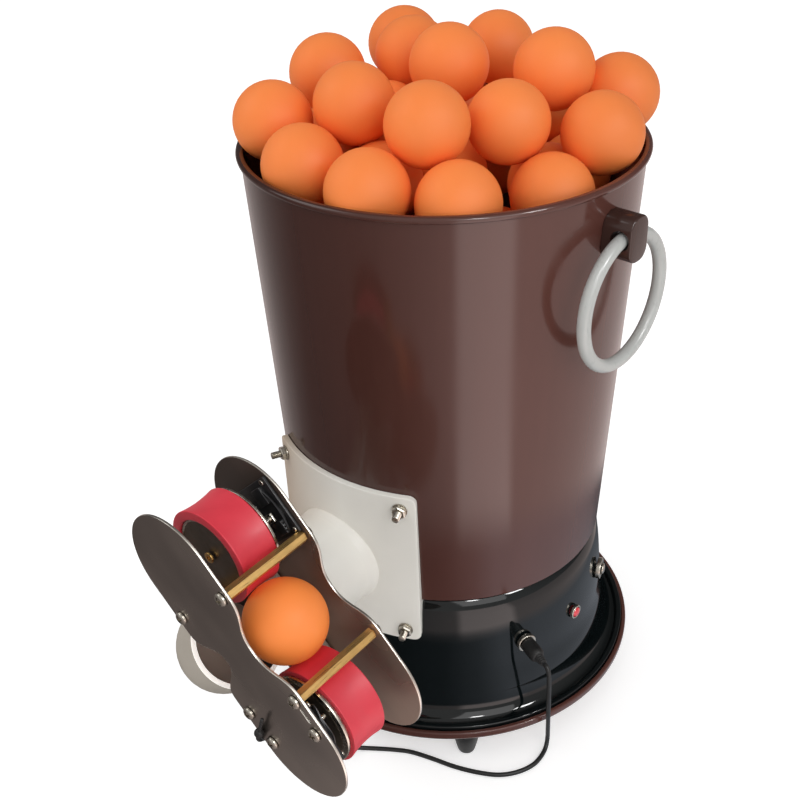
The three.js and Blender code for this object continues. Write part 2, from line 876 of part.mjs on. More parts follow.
function add_head(robot) {
  const head = head_frame();
  head.add(piece('elbow', elbow(), 'white'));
  add_plates(head);
  add_wheel(head, 'upper_wheel', -1);
  add_wheel(head, 'lower_wheel', 1);
  add_motor_screws(head);
  const relief = piece('lead_grommet', grommet(), 'rubber');
  relief.position.set(grommet_x, grommet_y, outer_face + gap + grommet_radius);
  head.add(relief);
  const ball = piece('head_ball', ball_shape(ball_radius), 'orange');
  ball.position.y = head_ball_rise;
  head.add(ball);
  robot.add(head);
}

// The heap of balls: where each ball sits, in ball radii from the hopper's axis and its rim
const heap_shares = [
  [-2.95, -3, 0.6], [-1.15, -3.8, 0.1], [1, -3.9, 0], [2.8, -2.85, -0.2], [3.75, -0.55, -0.5],
  [3.95, 1.15, 0.55], [3.15, 3.1, 0.85], [2.3, -0.35, 0.9], [1.45, -2.3, 1.2], [-1.05, -2.05, 1.15],
  [-3.35, -0.6, 1.15], [-3.4, 2.5, 1.2], [-2, 1.25, 1.4], [-1.35, 4.05, 1.05], [-1.5, -0.36, 0.18],
  [0.88, 1.44, 0.03], [0.03, 3.99, -0.52], [-0.02, -2.27, -0.55], [-3.96, 0.42, -0.62], [-2.14, 3.35, -0.64],
  [-1.91, 1.39, -0.67], [-3.02, -1.34, -0.68], [0.44, -0.35, -0.77], [2.54, 0.99, -0.98], [1.76, -1.69, -1.4],
  [-0.26, 2.22, -1.41], [1.64, 3.57, -1.63], [-1.34, -1.01, -1.69], [-1.6, -2.99, -1.81], [-3.44, 1.89, -1.85],
  [0.14, -3.91, -2.01],
];
const loose_shares = [[2.1, 1.75, 1.6], [-0.18, 0.5, 1.65]];
const mound_shares = [[0.985, -2.1], [0.93, -1.6], [0.6, -1.3], [0, -1.2]];

function heap_spot([x, y, up]) {
  return [x * ball_radius, y * ball_radius, rim_top + up * ball_radius];
}

function nearest_below(spot, spots) {
  const below = spots.filter((other) => other[2] < spot[2]);
  const away = (other) => Math.hypot(...other.map((value, i) => value - spot[i]));
  return below.sort((first, second) => away(first) - away(second))[0];
}

// Short pin through the point where two balls touch
function tie(spot, other) {
  const [from, to] = [new THREE.Vector3(...spot), new THREE.Vector3(...other)];
  const way = to.clone().sub(from);
  const pin = rod(tie_radius, way.length(), hex_sides);
  const turn = new THREE.Quaternion().setFromUnitVectors(new THREE.Vector3(0, 0, 1), way.normalize());
  return solid(pin.applyQuaternion(turn).translate(...spot));
}

function load_room(low) {
  const reach = 2 * hopper_rim_radius;
  return solid(lathe([
    [0, low],
    [hopper_radius_at(low) - hopper_wall - edge, low],
    [hopper_inside - edge, rim_top + gap],
    [reach, rim_top + gap],
    [reach, rim_top + hopper_height],
    [0, rim_top + hopper_height],
  ]));
}

function ball_load() {
  const low = feeder_top + feeder_clearance;
  const cone_top = feeder_top - edge + feeder_cone_height + feeder_clearance;
  const mound = mound_shares.map(([out, up]) => [out * hopper_inside, rim_top + up * ball_radius]);
  let body = solid(lathe([
    [0, cone_top],
    [feeder_cone_top_radius + edge, cone_top],
    [feeder_cone_radius + edge, low],
    [hopper_radius_at(low) - hopper_wall - edge, low],
    ...mound,
  ], tube_sides));
  const spots = heap_shares.map(heap_spot);
  for (const spot of spots) {
    const below = nearest_below(spot, spots);
    body = body.add(solid(ball_shape(ball_radius).translate(...spot)));
    if (below) body = body.add(tie(spot, below));
  }
  for (const shares of loose_shares) {
    body = body.subtract(solid(ball_shape(ball_radius + gap).translate(...heap_spot(shares))));
  }
  return body.intersect(load_room(low));
}

function add_balls(robot) {
  robot.add(piece('ball_load', ball_load(), 'orange'));
  loose_shares.forEach((shares, i) => {
    const ball = piece(`loose_ball_${i + 1}`, ball_shape(ball_radius), 'orange');
    ball.position.set(...heap_spot(shares));
    robot.add(ball);
  });
}

// The lead: from the plug down to the floor, round under the head and up to its grommet
const lead_points = [
  [106, -45.2, 65.7], [107.4, -45.8, 65.7], [109.4, -46.6, 63.2], [110.1, -46.7, 57], [110.1, -46, 38],
  [108.6, -43.2, 16.8], [108.1, -42.3, 7], [109, -44.9, 2.4], [110.4, -51.2, 1.5], [110.5, -59.5, 1.5],
  [106.94, -68.94, 1.5], [100.44, -77.06, 1.5], [90.89, -83.15, 1.5], [77.39, -88.84, 1.5], [62.26, -93, 1.5],
  [50.59, -96.96, 1.5], [42.97, -101.43, 1.5], [35.77, -106.4, 1.5], [28.55, -112.18, 1.96], [22.61, -119.9, 4.8],
  [18.94, -131.27, 11.36], [18.81, -144.99, 23.24], [22, -160, 40], [28, -174, 58], [36, -187, 74],
  [44, -198, 87], [49.4, -203.6, 96], [51, -204.9, 101], [51.75, -205.05, 103.4],
];

function lead() {
  const path = new THREE.CatmullRomCurve3(lead_points.map((spot) => new THREE.Vector3(...spot)));
  const section = new THREE.Shape();
  for (let i = 0; i < lead_sides; i += 1) {
    const turn = (i * 2 * Math.PI) / lead_sides;
    const corner = [lead_radius * Math.cos(turn), lead_radius * Math.sin(turn)];
    if (i === 0) section.moveTo(...corner);
    else section.lineTo(...corner);
  }
  section.closePath();
  return new THREE.ExtrudeGeometry(section, { steps: lead_steps, bevelEnabled: false, extrudePath: path });
}

// The whole robot, set on the middle of its own footprint

function build() {
  const robot = new THREE.Group();
  add_saucer(robot);
  robot.add(piece('base_housing', base_housing(), 'black'));
  robot.add(piece('hopper', hopper(), 'brown'));
  add_handles(robot);
  add_flange(robot);
  add_controls(robot);
  add_feeder(robot);
  add_head(robot);
  add_balls(robot);
  robot.add(piece('lead', lead(), 'rubber'));
  return robot;
}

const on_lead = ['lead', 'lead_plug'];

function centre(robot) {
  const box = new THREE.Box3();
  robot.updateMatrixWorld(true);
  robot.traverse((mesh) => {
    if (mesh.isMesh && !on_lead.includes(mesh.name)) box.expandByObject(mesh, true);
  });
  const middle = box.getCenter(new THREE.Vector3());
  robot.position.set(-middle.x, -middle.y, -box.min.z);
  return robot;
}

export default centre(build());
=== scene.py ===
import json
from math import asin, cos, hypot, pi, radians, sin, tan

import bmesh
import bpy
from mathutils import Matrix, Vector

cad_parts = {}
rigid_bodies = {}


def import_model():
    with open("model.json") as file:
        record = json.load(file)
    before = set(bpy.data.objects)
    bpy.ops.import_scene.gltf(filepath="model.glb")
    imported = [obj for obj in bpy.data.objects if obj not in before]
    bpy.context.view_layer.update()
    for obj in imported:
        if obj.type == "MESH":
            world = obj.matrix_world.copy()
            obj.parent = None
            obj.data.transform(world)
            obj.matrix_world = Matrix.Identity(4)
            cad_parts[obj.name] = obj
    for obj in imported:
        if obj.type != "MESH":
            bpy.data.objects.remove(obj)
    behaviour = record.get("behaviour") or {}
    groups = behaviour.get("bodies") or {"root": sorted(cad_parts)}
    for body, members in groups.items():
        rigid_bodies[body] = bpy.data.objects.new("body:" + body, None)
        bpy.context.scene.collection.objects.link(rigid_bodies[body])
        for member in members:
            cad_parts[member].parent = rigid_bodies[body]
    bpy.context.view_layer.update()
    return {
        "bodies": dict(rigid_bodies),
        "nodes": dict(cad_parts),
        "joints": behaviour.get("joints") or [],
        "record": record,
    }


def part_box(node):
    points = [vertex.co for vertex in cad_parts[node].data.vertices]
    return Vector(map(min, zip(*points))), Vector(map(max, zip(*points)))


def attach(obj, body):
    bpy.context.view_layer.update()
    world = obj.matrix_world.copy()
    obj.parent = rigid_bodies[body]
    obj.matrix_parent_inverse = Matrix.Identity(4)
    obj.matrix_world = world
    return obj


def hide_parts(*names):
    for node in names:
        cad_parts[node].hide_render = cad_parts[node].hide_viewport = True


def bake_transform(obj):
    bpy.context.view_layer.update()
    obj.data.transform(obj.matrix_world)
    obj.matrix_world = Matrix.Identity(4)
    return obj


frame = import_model()

bl_info = {
    "name": "Table tennis robot",
    "version": (1, 0, 0),
    "blender": (4, 5, 0),
    "location": "3D View > Sidebar > Robot",
    "description": "Dresses the solids of a ball machine with fine shapes and finishes",
    "category": "Object",
}

JOINTS = {joint["name"]: joint for joint in frame["joints"]}
SAUCER_LOW, SAUCER_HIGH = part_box("saucer")
AXIS_Y = (SAUCER_LOW.y + SAUCER_HIGH.y) / 2
CLEARANCE = 0.0003  # between pieces that touch
PAST = 0.005  # how far a cutting shape runs past what it cuts
SHAFT_HOLE = 0.005  # radius of the holes round the feeder's shaft
CONTROL_SEAT = 0.0007  # from the housing's wall to the foot of a control


# Sizes and colours that a user would change


def length(name, default, description):
    return bpy.props.FloatProperty(
        name=name, description=description, default=default, min=0.0, precision=4, unit="LENGTH"
    )


def turn(name, default, description):
    return bpy.props.FloatProperty(
        name=name, description=description, default=radians(default), subtype="ANGLE"
    )


def share(name, default, description):
    return bpy.props.FloatProperty(
        name=name, description=description, default=default, min=0.0, max=1.0, subtype="FACTOR"
    )


def count(name, default, description):
    return bpy.props.IntProperty(name=name, description=description, default=default, min=3)


def tint(name, default, description):
    return bpy.props.FloatVectorProperty(
        name=name, description=description, default=default, size=3, min=0.0, max=1.0, subtype="COLOR"
    )


def power(name, default, description):
    return bpy.props.FloatProperty(name=name, description=description, default=default, unit="POWER")


class BaseSizes(bpy.types.PropertyGroup):
    """Saucer, feet and the black housing"""

    saucer_radius: length("Saucer radius", 0.1124, "Outer radius of the brown saucer")
    saucer_height: length("Saucer height", 0.0062, "Height of the saucer's side")
    saucer_wall: length("Saucer wall", 0.0026, "Thickness of the saucer's side")
    saucer_floor: length("Saucer floor", 0.0024, "Thickness of the saucer's floor")
    foot_height: length("Foot height", 0.016, "Height of the rubber feet")
    foot_radius: length("Foot radius", 0.0074, "Radius of a foot under the saucer")
    foot_tip: length("Foot tip radius", 0.0046, "Radius of a foot on the floor")
    foot_inset: length("Foot inset", 0.009, "How far the feet sit inside the saucer's edge")
    feet: count("Feet", 4, "Number of feet")
    height: length("Housing height", 0.082, "Height of the black housing")
    radius: length("Housing radius", 0.0972, "Radius of the housing near its foot")
    flare: length("Housing flare", 0.0078, "How far the housing sweeps out to its tray")
    flare_height: length("Flare height", 0.015, "Height of the sweep from the housing to its tray")
    wall: length("Housing wall", 0.0026, "Thickness of the housing's wall")
    tray_height: length("Tray height", 0.0032, "Thickness of the tray round the housing")
    tray_rim: length("Tray rim height", 0.0024, "Height of the rim round the tray")
    tray_rim_width: length("Tray rim width", 0.003, "Width of the rim round the tray")


class HopperSizes(bpy.types.PropertyGroup):
    """The bucket, its lugs and its ring handles"""

    height: length("Height", 0.2303, "Height of the bucket")
    base_radius: length("Base radius", 0.0901, "Outer radius at the bucket's floor")
    rim_radius: length("Rim radius", 0.1021, "Outer radius at the rim, without the bead")
    wall: length("Wall", 0.0018, "Thickness of the bucket's wall")
    floor: length("Floor", 0.002, "Thickness of the bucket's floor")
    bead_reach: length("Bead reach", 0.00215, "How far the rim's bead stands out")
    bead_height: length("Bead height", 0.0034, "Height of the rim's bead")
    ring_radius: length("Ring radius", 0.0331, "Middle radius of a ring handle")
    ring_wire: length("Ring wire radius", 0.0034, "Radius of a ring's wire")
    lug_width: length("Lug width", 0.015, "Width of a lug")
    lug_height: length("Lug height", 0.023, "Height of a lug")
    lug_corner: length("Lug corner", 0.0065, "Corner radius of a lug")
    lug_reach: length("Lug reach", 0.0156, "How far a lug stands off the bucket")
    lug_hole: length("Lug hole radius", 0.005, "Radius of the hole that holds the ring")


class OutletSizes(bpy.types.PropertyGroup):
    """The white flange, its socket tube and the elbow"""

    drop: turn("Tube drop", 4.3, "How far the outlet tube points below level")
    sink: length("Tube sink", 0.0014, "How far the tube's start sits below the ball's middle")
    bore: length("Bore radius", 0.0221, "Inner radius of tube and elbow")
    elbow_wall: length("Elbow wall", 0.0025, "Thickness of the elbow's wall")
    tube_wall: length("Tube wall", 0.0023, "Thickness of the socket tube's wall")
    tube_length: length("Tube length", 0.03, "Length of the socket tube in front of the flange")
    spigot: length("Spigot length", 0.019, "How far the elbow enters the socket tube")
    elbow_length: length("Elbow length", 0.051, "Distance from the socket tube's end to the elbow's corner")
    fillet: length("Tube fillet", 0.0013, "Rounding between tube and flange")
    width: length("Flange width", 0.098, "Width of the flange")
    height: length("Flange height", 0.098, "Height of the flange")
    rise: length("Flange rise", 0.004, "Height of the flange's middle over the tube's start")
    thickness: length("Flange thickness", 0.003, "Least thickness of the flange")
    corner: length("Flange corner", 0.004, "Corner radius of the flange")
    bolt_inset_x: length("Bolt inset sideways", 0.0075, "Distance from bolt to the flange's side")
    bolt_inset_z: length("Bolt inset upright", 0.0078, "Distance from bolt to the flange's top")
    neck: length("Mouth height", 0.0173, "Height of the elbow's mouth over its axis")
    arm: length("Arm", 0.0652, "Distance from the tube's axis to the wheels")
    bridge_width: length("Bridge width", 0.066, "Width of the block that carries the plates")
    bridge_thickness: length("Bridge thickness", 0.0093, "Thickness of that block")
    bridge_top: length("Bridge top", 0.018, "Its upper edge below the wheels' middle")
    bridge_bottom: length("Bridge bottom", 0.046, "Its lower edge below the wheels' middle")


class HeadSizes(bpy.types.PropertyGroup):
    """Side plates, standoffs, wheels and motors"""

    pitch: length("Plate pitch", 0.0504, "Distance between the plates' middles")
    plate: length("Plate thickness", 0.0015, "Thickness of a side plate")
    half_length: length("Plate half length", 0.0773, "Half the length of a plate")
    half_height: length("Plate half height", 0.03, "Half the height of a plate")
    waist_half_width: length("Waist half width", 0.027, "Half the width of the upper waist")
    waist_depth: length("Waist depth", 0.013, "Depth of the upper waist")
    notch_half_width: length("Notch half width", 0.018, "Half the width of the lower notch")
    notch_depth: length("Notch depth", 0.018, "Depth of the lower notch")
    standoff_x: length("Standoff along", 0.0273, "Place of the standoffs along the plates")
    standoff_y: length("Standoff across", 0.0246, "Place of the standoffs across the plates")
    standoff: length("Standoff radius", 0.0031, "Corner radius of a standoff")
    screw: length("Screw head radius", 0.0034, "Radius of a screw head")
    screw_height: length("Screw head height", 0.002, "Height of a screw head")
    wheel_offset: length("Wheel offset", 0.0435, "Distance from the ball's path to a wheel's axis")
    tyre_width: length("Tyre width", 0.0204, "Width of a tyre")
    tyre_flare: length("Tyre flare", 0.001, "How far a tyre's edges stand over its waist")
    tyre_shift: length("Tyre shift", 0.0014, "How far a tyre sits towards its motor")
    drum: length("Drum radius", 0.0198, "Radius of the drum inside a tyre")
    drum_recess: length("Drum recess", 0.0010, "How far the drum's face sits inside the tyre")
    rim: length("Rim radius", 0.0234, "Radius of the bright rim behind a tyre")
    rim_width: length("Rim width", 0.0022, "Thickness of the bright rim")
    ball_rise: length("Ball rise", 0.0085, "How far the ball rests outside the wheels' middle")
    motor: length("Motor radius", 0.0124, "Radius of the motor behind a wheel")
    motor_neck: length("Motor neck radius", 0.009, "Radius of the motor's foot")


class BallSizes(bpy.types.PropertyGroup):
    """The balls"""

    radius: length("Ball radius", 0.02, "Radius of a table tennis ball")
    detail: bpy.props.IntProperty(
        name="Detail", description="Subdivisions of a ball", default=4, min=2, max=5
    )
    seed: bpy.props.IntProperty(
        name="Seed", description="Turns the balls' seams another way", default=3
    )


class LeadSizes(bpy.types.PropertyGroup):
    """The head's lead"""

    radius: length("Lead radius", 0.0013, "Radius of the lead")
    sides: count("Lead sides", 16, "Sides of the lead's round section")


class Finishes(bpy.types.PropertyGroup):
    """Colours of the finishes"""

    brown: tint("Brown plastic", (0.118, 0.043, 0.033), "Hopper and saucer")
    lug: tint("Dark brown", (0.05, 0.022, 0.017), "Lugs")
    black: tint("Black plastic", (0.0035, 0.0055, 0.006), "Base housing")
    motor: tint("Motor black", (0.012, 0.012, 0.013), "Motors and their boards")
    rubber: tint("Black rubber", (0.012, 0.012, 0.012), "Feet, lead and plug")
    grey: tint("Grey plastic", (0.54, 0.55, 0.53), "Ring handles")
    white: tint("Printed white", (0.87, 0.85, 0.79), "Flange and tube")
    # Painted shade, warm, on the flange's left side
    flange_painted_shade: tint("White at the left", (0.52, 0.41, 0.31), "The flange's left side")
    # Painted shade on the elbow's outside: a darker copy of the printed white
    elbow: tint("Shaded white", (0.44, 0.395, 0.335), "Elbow")
    # Painted light on the elbow's mouth ring: a lighter copy of the printed white that also glows faintly
    mouth: tint("Lit white", (0.95, 0.93, 0.88), "The elbow's mouth")
    # Painted shade: near black inside the elbow
    bore: tint("Bore", (0.012, 0.012, 0.013), "Inside of the elbow")
    steel: tint("Plate steel", (0.27, 0.242, 0.215), "Near side plate")
    # The far plate's warm tint is a painted reflection of the orange balls
    steel_far: tint("Far plate steel", (0.42, 0.31, 0.25), "Far side plate, warm from the balls' colour")
    steel_edge: tint("Cut steel edge", (0.6, 0.57, 0.52), "Cut edges of the side plates")
    zinc: tint("Zinc", (0.5, 0.47, 0.41), "Screws, bolts and rims")
    brass: tint("Brass", (0.72, 0.46, 0.17), "Standoffs and shaft caps")
    drum: tint("Drum metal", (0.15, 0.125, 0.095), "Drums inside the tyres")
    red: tint("Red silicone", (0.76, 0.034, 0.06), "Tyres")
    lens: tint("Red lens", (0.5, 0.02, 0.03), "Pilot lamp")
    orange: tint("Ball orange", (0.95, 0.245, 0.054), "Balls")
    # Painted light: the ball between the wheels, a brighter orange that also glows faintly
    orange_lit: tint("Lit orange", (0.99, 0.26, 0.052), "Ball between the wheels, lit through its wall")
    board: tint("Board green", (0.01, 0.09, 0.035), "Control board")


class StageLook(bpy.types.PropertyGroup):
    """Floor and light"""

    floor: tint("Floor", (0.8, 0.8, 0.8), "Colour of the floor")
    floor_glow: share("Floor glow", 0.5, "How much of the floor's white comes from itself")
    ambient: share("Ambient", 0.66, "Strength of the even light from all sides")
    key: power("Key", 8.2, "Power of the large lamp at the left")
    fill: power("Fill", 8.6, "Power of the large lamp at the right")
    window: power("Window", 8.0, "Power of the small windows that only reflections show")


GROUPS = {
    "robot_base": BaseSizes,
    "robot_hopper": HopperSizes,
    "robot_outlet": OutletSizes,
    "robot_head": HeadSizes,
    "robot_balls": BallSizes,
    "robot_lead": LeadSizes,
    "robot_finishes": Finishes,
    "robot_stage": StageLook,
}


# Heights and places that several pieces share

# Outline of the housing over its tray: shares of its radius and of its height
HOUSING_SHARES = [
    (1, 0.02), (1, 0.09), (0.99, 0.21), (0.973, 0.36), (0.963, 0.55),
    (0.948, 0.76), (0.93, 0.9), (0.905, 0.965), (0.865, 1),
]

# Controls on the housing: their turn from the front in degrees, and their share of its height
JACK, LAMP, TOGGLE = (66.9, 0.573), (90.2, 0.58), (112.0, 0.65)
JACK_NUT_DEPTH = 0.0024


class Places:
    """Heights and frames that follow from the sizes"""

    def __init__(self, scene):
        base, hopper, outlet = scene.robot_base, scene.robot_hopper, scene.robot_outlet
        head, balls = scene.robot_head, scene.robot_balls
        self.saucer_z = base.foot_height
        self.housing_z = self.saucer_z + base.saucer_floor + CLEARANCE
        self.housing_top = self.housing_z + base.height
        self.deck_z = self.housing_z + base.tray_height
        self.hopper_z = self.housing_top + CLEARANCE
        self.floor_top = self.hopper_z + hopper.floor
        self.rim_top = self.hopper_z + hopper.height
        self.outlet_z = self.floor_top + balls.radius - outlet.sink
        self.axis_z = self.outlet_z + hopper.base_radius * tan(outlet.drop)
        self.flange_z = self.outlet_z + outlet.rise
        self.half_pitch = head.pitch / 2
        self.inner = self.half_pitch - head.plate / 2
        self.outer = self.half_pitch + head.plate / 2
        self.middle = Matrix.Translation((0, AXIS_Y, 0))
        self.outlet = outlet_frame(self.axis_z, outlet.drop)
        self.head = head_frame()
        self.hopper = hopper
        self.base = base

    def hopper_radius(self, height):
        along = (height - self.hopper_z) / self.hopper.height
        low, high = self.hopper.base_radius, self.hopper.rim_radius
        return low + along * (high - low)

    def housing_outline(self):
        rise = self.housing_top - self.deck_z
        return [(out * self.base.radius, self.deck_z + up * rise) for out, up in HOUSING_SHARES]

    def housing_radius(self, height):
        outline = self.housing_outline()
        for low, high in zip(outline, outline[1:]):
            if height <= high[1]:
                along = (height - low[1]) / (high[1] - low[1])
                return low[0] + along * (high[0] - low[0])
        return outline[-1][0]

    def wheel(self, side, offset):
        """Frame of a wheel with z along its shaft, away from its motor"""
        place = self.head @ Matrix.Translation((side * offset, 0, 0))
        return place @ Matrix.Rotation(pi, 4, "Y") if side > 0 else place

    def control(self, turn_round, share_up, out=0.0):
        """Frame of a control on the housing's wall"""
        height = self.housing_z + share_up * self.base.height
        return facing(radians(turn_round), self.housing_radius(height) + CONTROL_SEAT + out, height)


def spot_at(x, y, z, height=0.0):
    """Place given in millimetres from the hopper's axis, over a height in metres"""
    return Vector((x / 1000, y / 1000 + AXIS_Y, height + z / 1000))


def frame_from(x, y, z, spot):
    rows = zip(x, y, z, spot)
    return Matrix([[*row] for row in rows] + [[0, 0, 0, 1]])


def outlet_frame(height, drop):
    """Frame on the tube's axis: x sideways, y up, z out along the tube"""
    out = Vector((0, -cos(drop), -sin(drop)))
    side = Vector((1, 0, 0))
    return frame_from(side, out.cross(side), out, Vector((0, AXIS_Y, height)))


def head_frame():
    """Frame between the wheels: x along the plates, y to the ball's exit, z out along the tube"""
    upper, lower = (Vector(JOINTS[f"{name}_wheel_spin"]["pos_m"]) for name in ("upper", "lower"))
    out = Vector(JOINTS["upper_wheel_spin"]["axis"]).normalized()
    along = (lower - upper).normalized()
    return frame_from(along, out.cross(along), out, (upper + lower) / 2)


def facing(azimuth, radius, height):
    """Frame on the housing: x sideways, y up, z outwards"""
    out = Vector((sin(azimuth), -cos(azimuth), 0))
    side = Vector((cos(azimuth), sin(azimuth), 0))
    return frame_from(side, (0, 0, 1), out, out * radius + Vector((0, AXIS_Y, height)))


# Meshes


def rounded(points, steps=4):
    """Profile whose corners are rounded by the radius that a third number gives"""
    path = []
    for i, point in enumerate(points):
        if len(point) < 3 or point[2] == 0:
            path.append(tuple(point[:2]))
            continue
        corner = Vector(point[:2])
        before, after = Vector(points[i - 1][:2]), Vector(points[(i + 1) % len(points)][:2])
        back, ahead = before - corner, after - corner
        reach = min(point[2], back.length * 0.49, ahead.length * 0.49)
        start, end = corner + back.normalized() * reach, corner + ahead.normalized() * reach
        for k in range(steps + 1):
            t = k / steps
            spot = start * (1 - t) ** 2 + corner * 2 * t * (1 - t) + end * t * t
            path.append((spot.x, spot.y))
    return path


def turns(count_of):
    """Angles of a full turn in equal parts"""
    return [(2 * pi * i) / count_of for i in range(count_of)]


def skin(work, rings):
    """Faces between each ring of corners and the next, where a ring may be a single pole"""
    sides = max(len(ring) for ring in rings)
    for low, high in zip(rings, rings[1:]):
        for i in range(sides):
            j = (i + 1) % sides
            ring = [low[i % len(low)], low[j % len(low)], high[j % len(high)], high[i % len(high)]]
            corners = list(dict.fromkeys(ring))
            if len(corners) > 2:
                work.faces.new(corners)


def turned(profile, sides=96, rounding=4):
    """Mesh turned about Z from a profile of radius and height, whose points on the axis are poles"""
    work = bmesh.new()
    rings = []
    for radius, height in rounded(profile, rounding):
        around = turns(sides) if radius > 1e-7 else [0.0]
        reach = radius if radius > 1e-7 else 0.0
        rings.append([work.verts.new((reach * cos(a), reach * sin(a), height)) for a in around])
    if len(rings[0]) > 1 or len(rings[-1]) > 1:
        rings.append(rings[0])
    skin(work, rings)
    bmesh.ops.recalc_face_normals(work, faces=work.faces)
    return finished(work)


def finished(work):
    mesh = bpy.data.meshes.new("shape")
    work.to_mesh(mesh)
    work.free()
    return mesh


def block(low, high, bevel=0.0):
    """Box from its low to its high corner, with rounded edges"""
    work = bmesh.new()
    bmesh.ops.create_cube(work, size=1.0)
    low, high = Vector(low), Vector(high)
    for vert in work.verts:
        vert.co = Vector([(low[k] + high[k]) / 2 + vert.co[k] * (high[k] - low[k]) for k in range(3)])
    if bevel:
        bmesh.ops.bevel(work, geom=work.edges[:], offset=bevel, segments=3, profile=0.5, affect="EDGES")
    return finished(work)


def rod(radius, start, end, sides=48, bevel=0.0):
    """Rod along Z with rounded ends"""
    return turned([(0, start), (radius, start, bevel), (radius, end, bevel), (0, end)], sides, 3)


def ball(radius, detail):
    work = bmesh.new()
    bmesh.ops.create_icosphere(work, subdivisions=detail, radius=radius)
    return finished(work)


def tube_along(points, radius, sides):
    """Round wire through a list of points"""
    work = bmesh.new()
    spots = [Vector(point) for point in points]
    rings, side = [], None
    for i, spot in enumerate(spots):
        ahead = (spots[min(i + 1, len(spots) - 1)] - spots[max(i - 1, 0)]).normalized()
        if side is None:
            side = ahead.orthogonal().normalized()
        side = (side - ahead * side.dot(ahead)).normalized()
        other = ahead.cross(side)
        circle = [spot + (side * cos(a) + other * sin(a)) * radius for a in turns(sides)]
        rings.append([work.verts.new(place) for place in circle])
    skin(work, rings)
    work.faces.new(list(reversed(rings[0])))
    work.faces.new(rings[-1])
    bmesh.ops.recalc_face_normals(work, faces=work.faces)
    return finished(work)


def smooth_path(points, steps=5):
    """Points of a smooth line through the given points"""
    spots = [Vector(point) for point in points]
    spots = [2 * spots[0] - spots[1], *spots, 2 * spots[-1] - spots[-2]]
    path = []
    for a, b, c, d in zip(spots, spots[1:], spots[2:], spots[3:]):
        ab, bc, cd = (max((q - p).length, 1e-9) ** 0.5 for p, q in ((a, b), (b, c), (c, d)))
        start = ((b - a) / ab - (c - a) / (ab + bc) + (c - b) / bc) * bc
        end = ((c - b) / bc - (d - b) / (bc + cd) + (d - c) / cd) * bc
        for k in range(steps):
            t = k / steps
            cubic = 2 * t**3 - 3 * t * t
            point = b * (cubic + 1) + start * (t**3 - 2 * t * t + t)
            path.append(point + c * -cubic + end * (t**3 - t * t))
    path.append(spots[-2])
    return path


def flat_plate(loops, thickness, bevel):
    """Plate in the XY plane from closed outlines, the first one outside, the others its holes"""
    curve = bpy.data.curves.new("outline", "CURVE")
    curve.dimensions = "2D"
    curve.fill_mode = "BOTH"
    curve.extrude = thickness / 2 - bevel
    curve.bevel_depth = bevel
    curve.bevel_resolution = 2
    curve.offset = -bevel
    for loop in loops:
        spline = curve.splines.new("POLY")
        spline.points.add(len(loop) - 1)
        for point, (x, y) in zip(spline.points, loop):
            point.co = (x, y, 0, 1)
        spline.use_cyclic_u = True
    return settled(shown("outline", curve))


def shown(name, data):
    obj = bpy.data.objects.new(name, data)
    bpy.context.scene.collection.objects.link(obj)
    return obj


def settled(obj):
    """Plain mesh of an object with its modifiers, which is then removed"""
    graph = bpy.context.evaluated_depsgraph_get()
    mesh = bpy.data.meshes.new_from_object(obj.evaluated_get(graph))
    bpy.data.objects.remove(obj)
    return mesh


def placed(mesh, matrix):
    mesh.transform(matrix)
    return mesh


def together(*meshes):
    """One mesh of several closed shapes"""
    work = bmesh.new()
    for mesh in meshes:
        work.from_mesh(mesh)
        bpy.data.meshes.remove(mesh)
    return finished(work)


def carved(mesh, *steps):
    """Mesh after joining or cutting other meshes, in order"""
    obj = shown("work", mesh)
    tools = []
    for operation, tool in steps:
        tools.append(shown("tool", tool))
        change = obj.modifiers.new("step", "BOOLEAN")
        change.operation = operation
        change.solver = "EXACT"
        change.object = tools[-1]
    result = settled(obj)
    for tool in tools:
        bpy.data.objects.remove(tool)
    return result


def rounded_rectangle(width, height, corner, steps):
    """Corner points of a rounded rectangle round the origin"""
    points = []
    for k, (x, y) in enumerate([(1, 1), (-1, 1), (-1, -1), (1, -1)]):
        middle_x, middle_y = x * (width / 2 - corner), y * (height / 2 - corner)
        for a in [(k + i / steps) * pi / 2 for i in range(steps + 1)]:
            points.append((middle_x + corner * cos(a), middle_y + corner * sin(a)))
    return points


def piece(name, mesh, finish, body, *nodes, slot=None, sharp=35):
    """Names a finished mesh, gives it its finish and lets it ride on its body"""
    mesh.name = name
    obj = shown(name, mesh)
    finishes = [finish] if isinstance(finish, str) else finish
    looks = [face.material_index % len(finishes) for face in mesh.polygons]
    mesh.materials.clear()
    for one in finishes:
        mesh.materials.append(bpy.data.materials[one])
    mesh.polygons.foreach_set("material_index", looks)
    mesh.shade_smooth()
    mesh.set_sharp_from_angle(angle=radians(sharp))
    if body:
        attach(obj, body)
    if nodes:
        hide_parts(*nodes)
    return obj


# Node trees


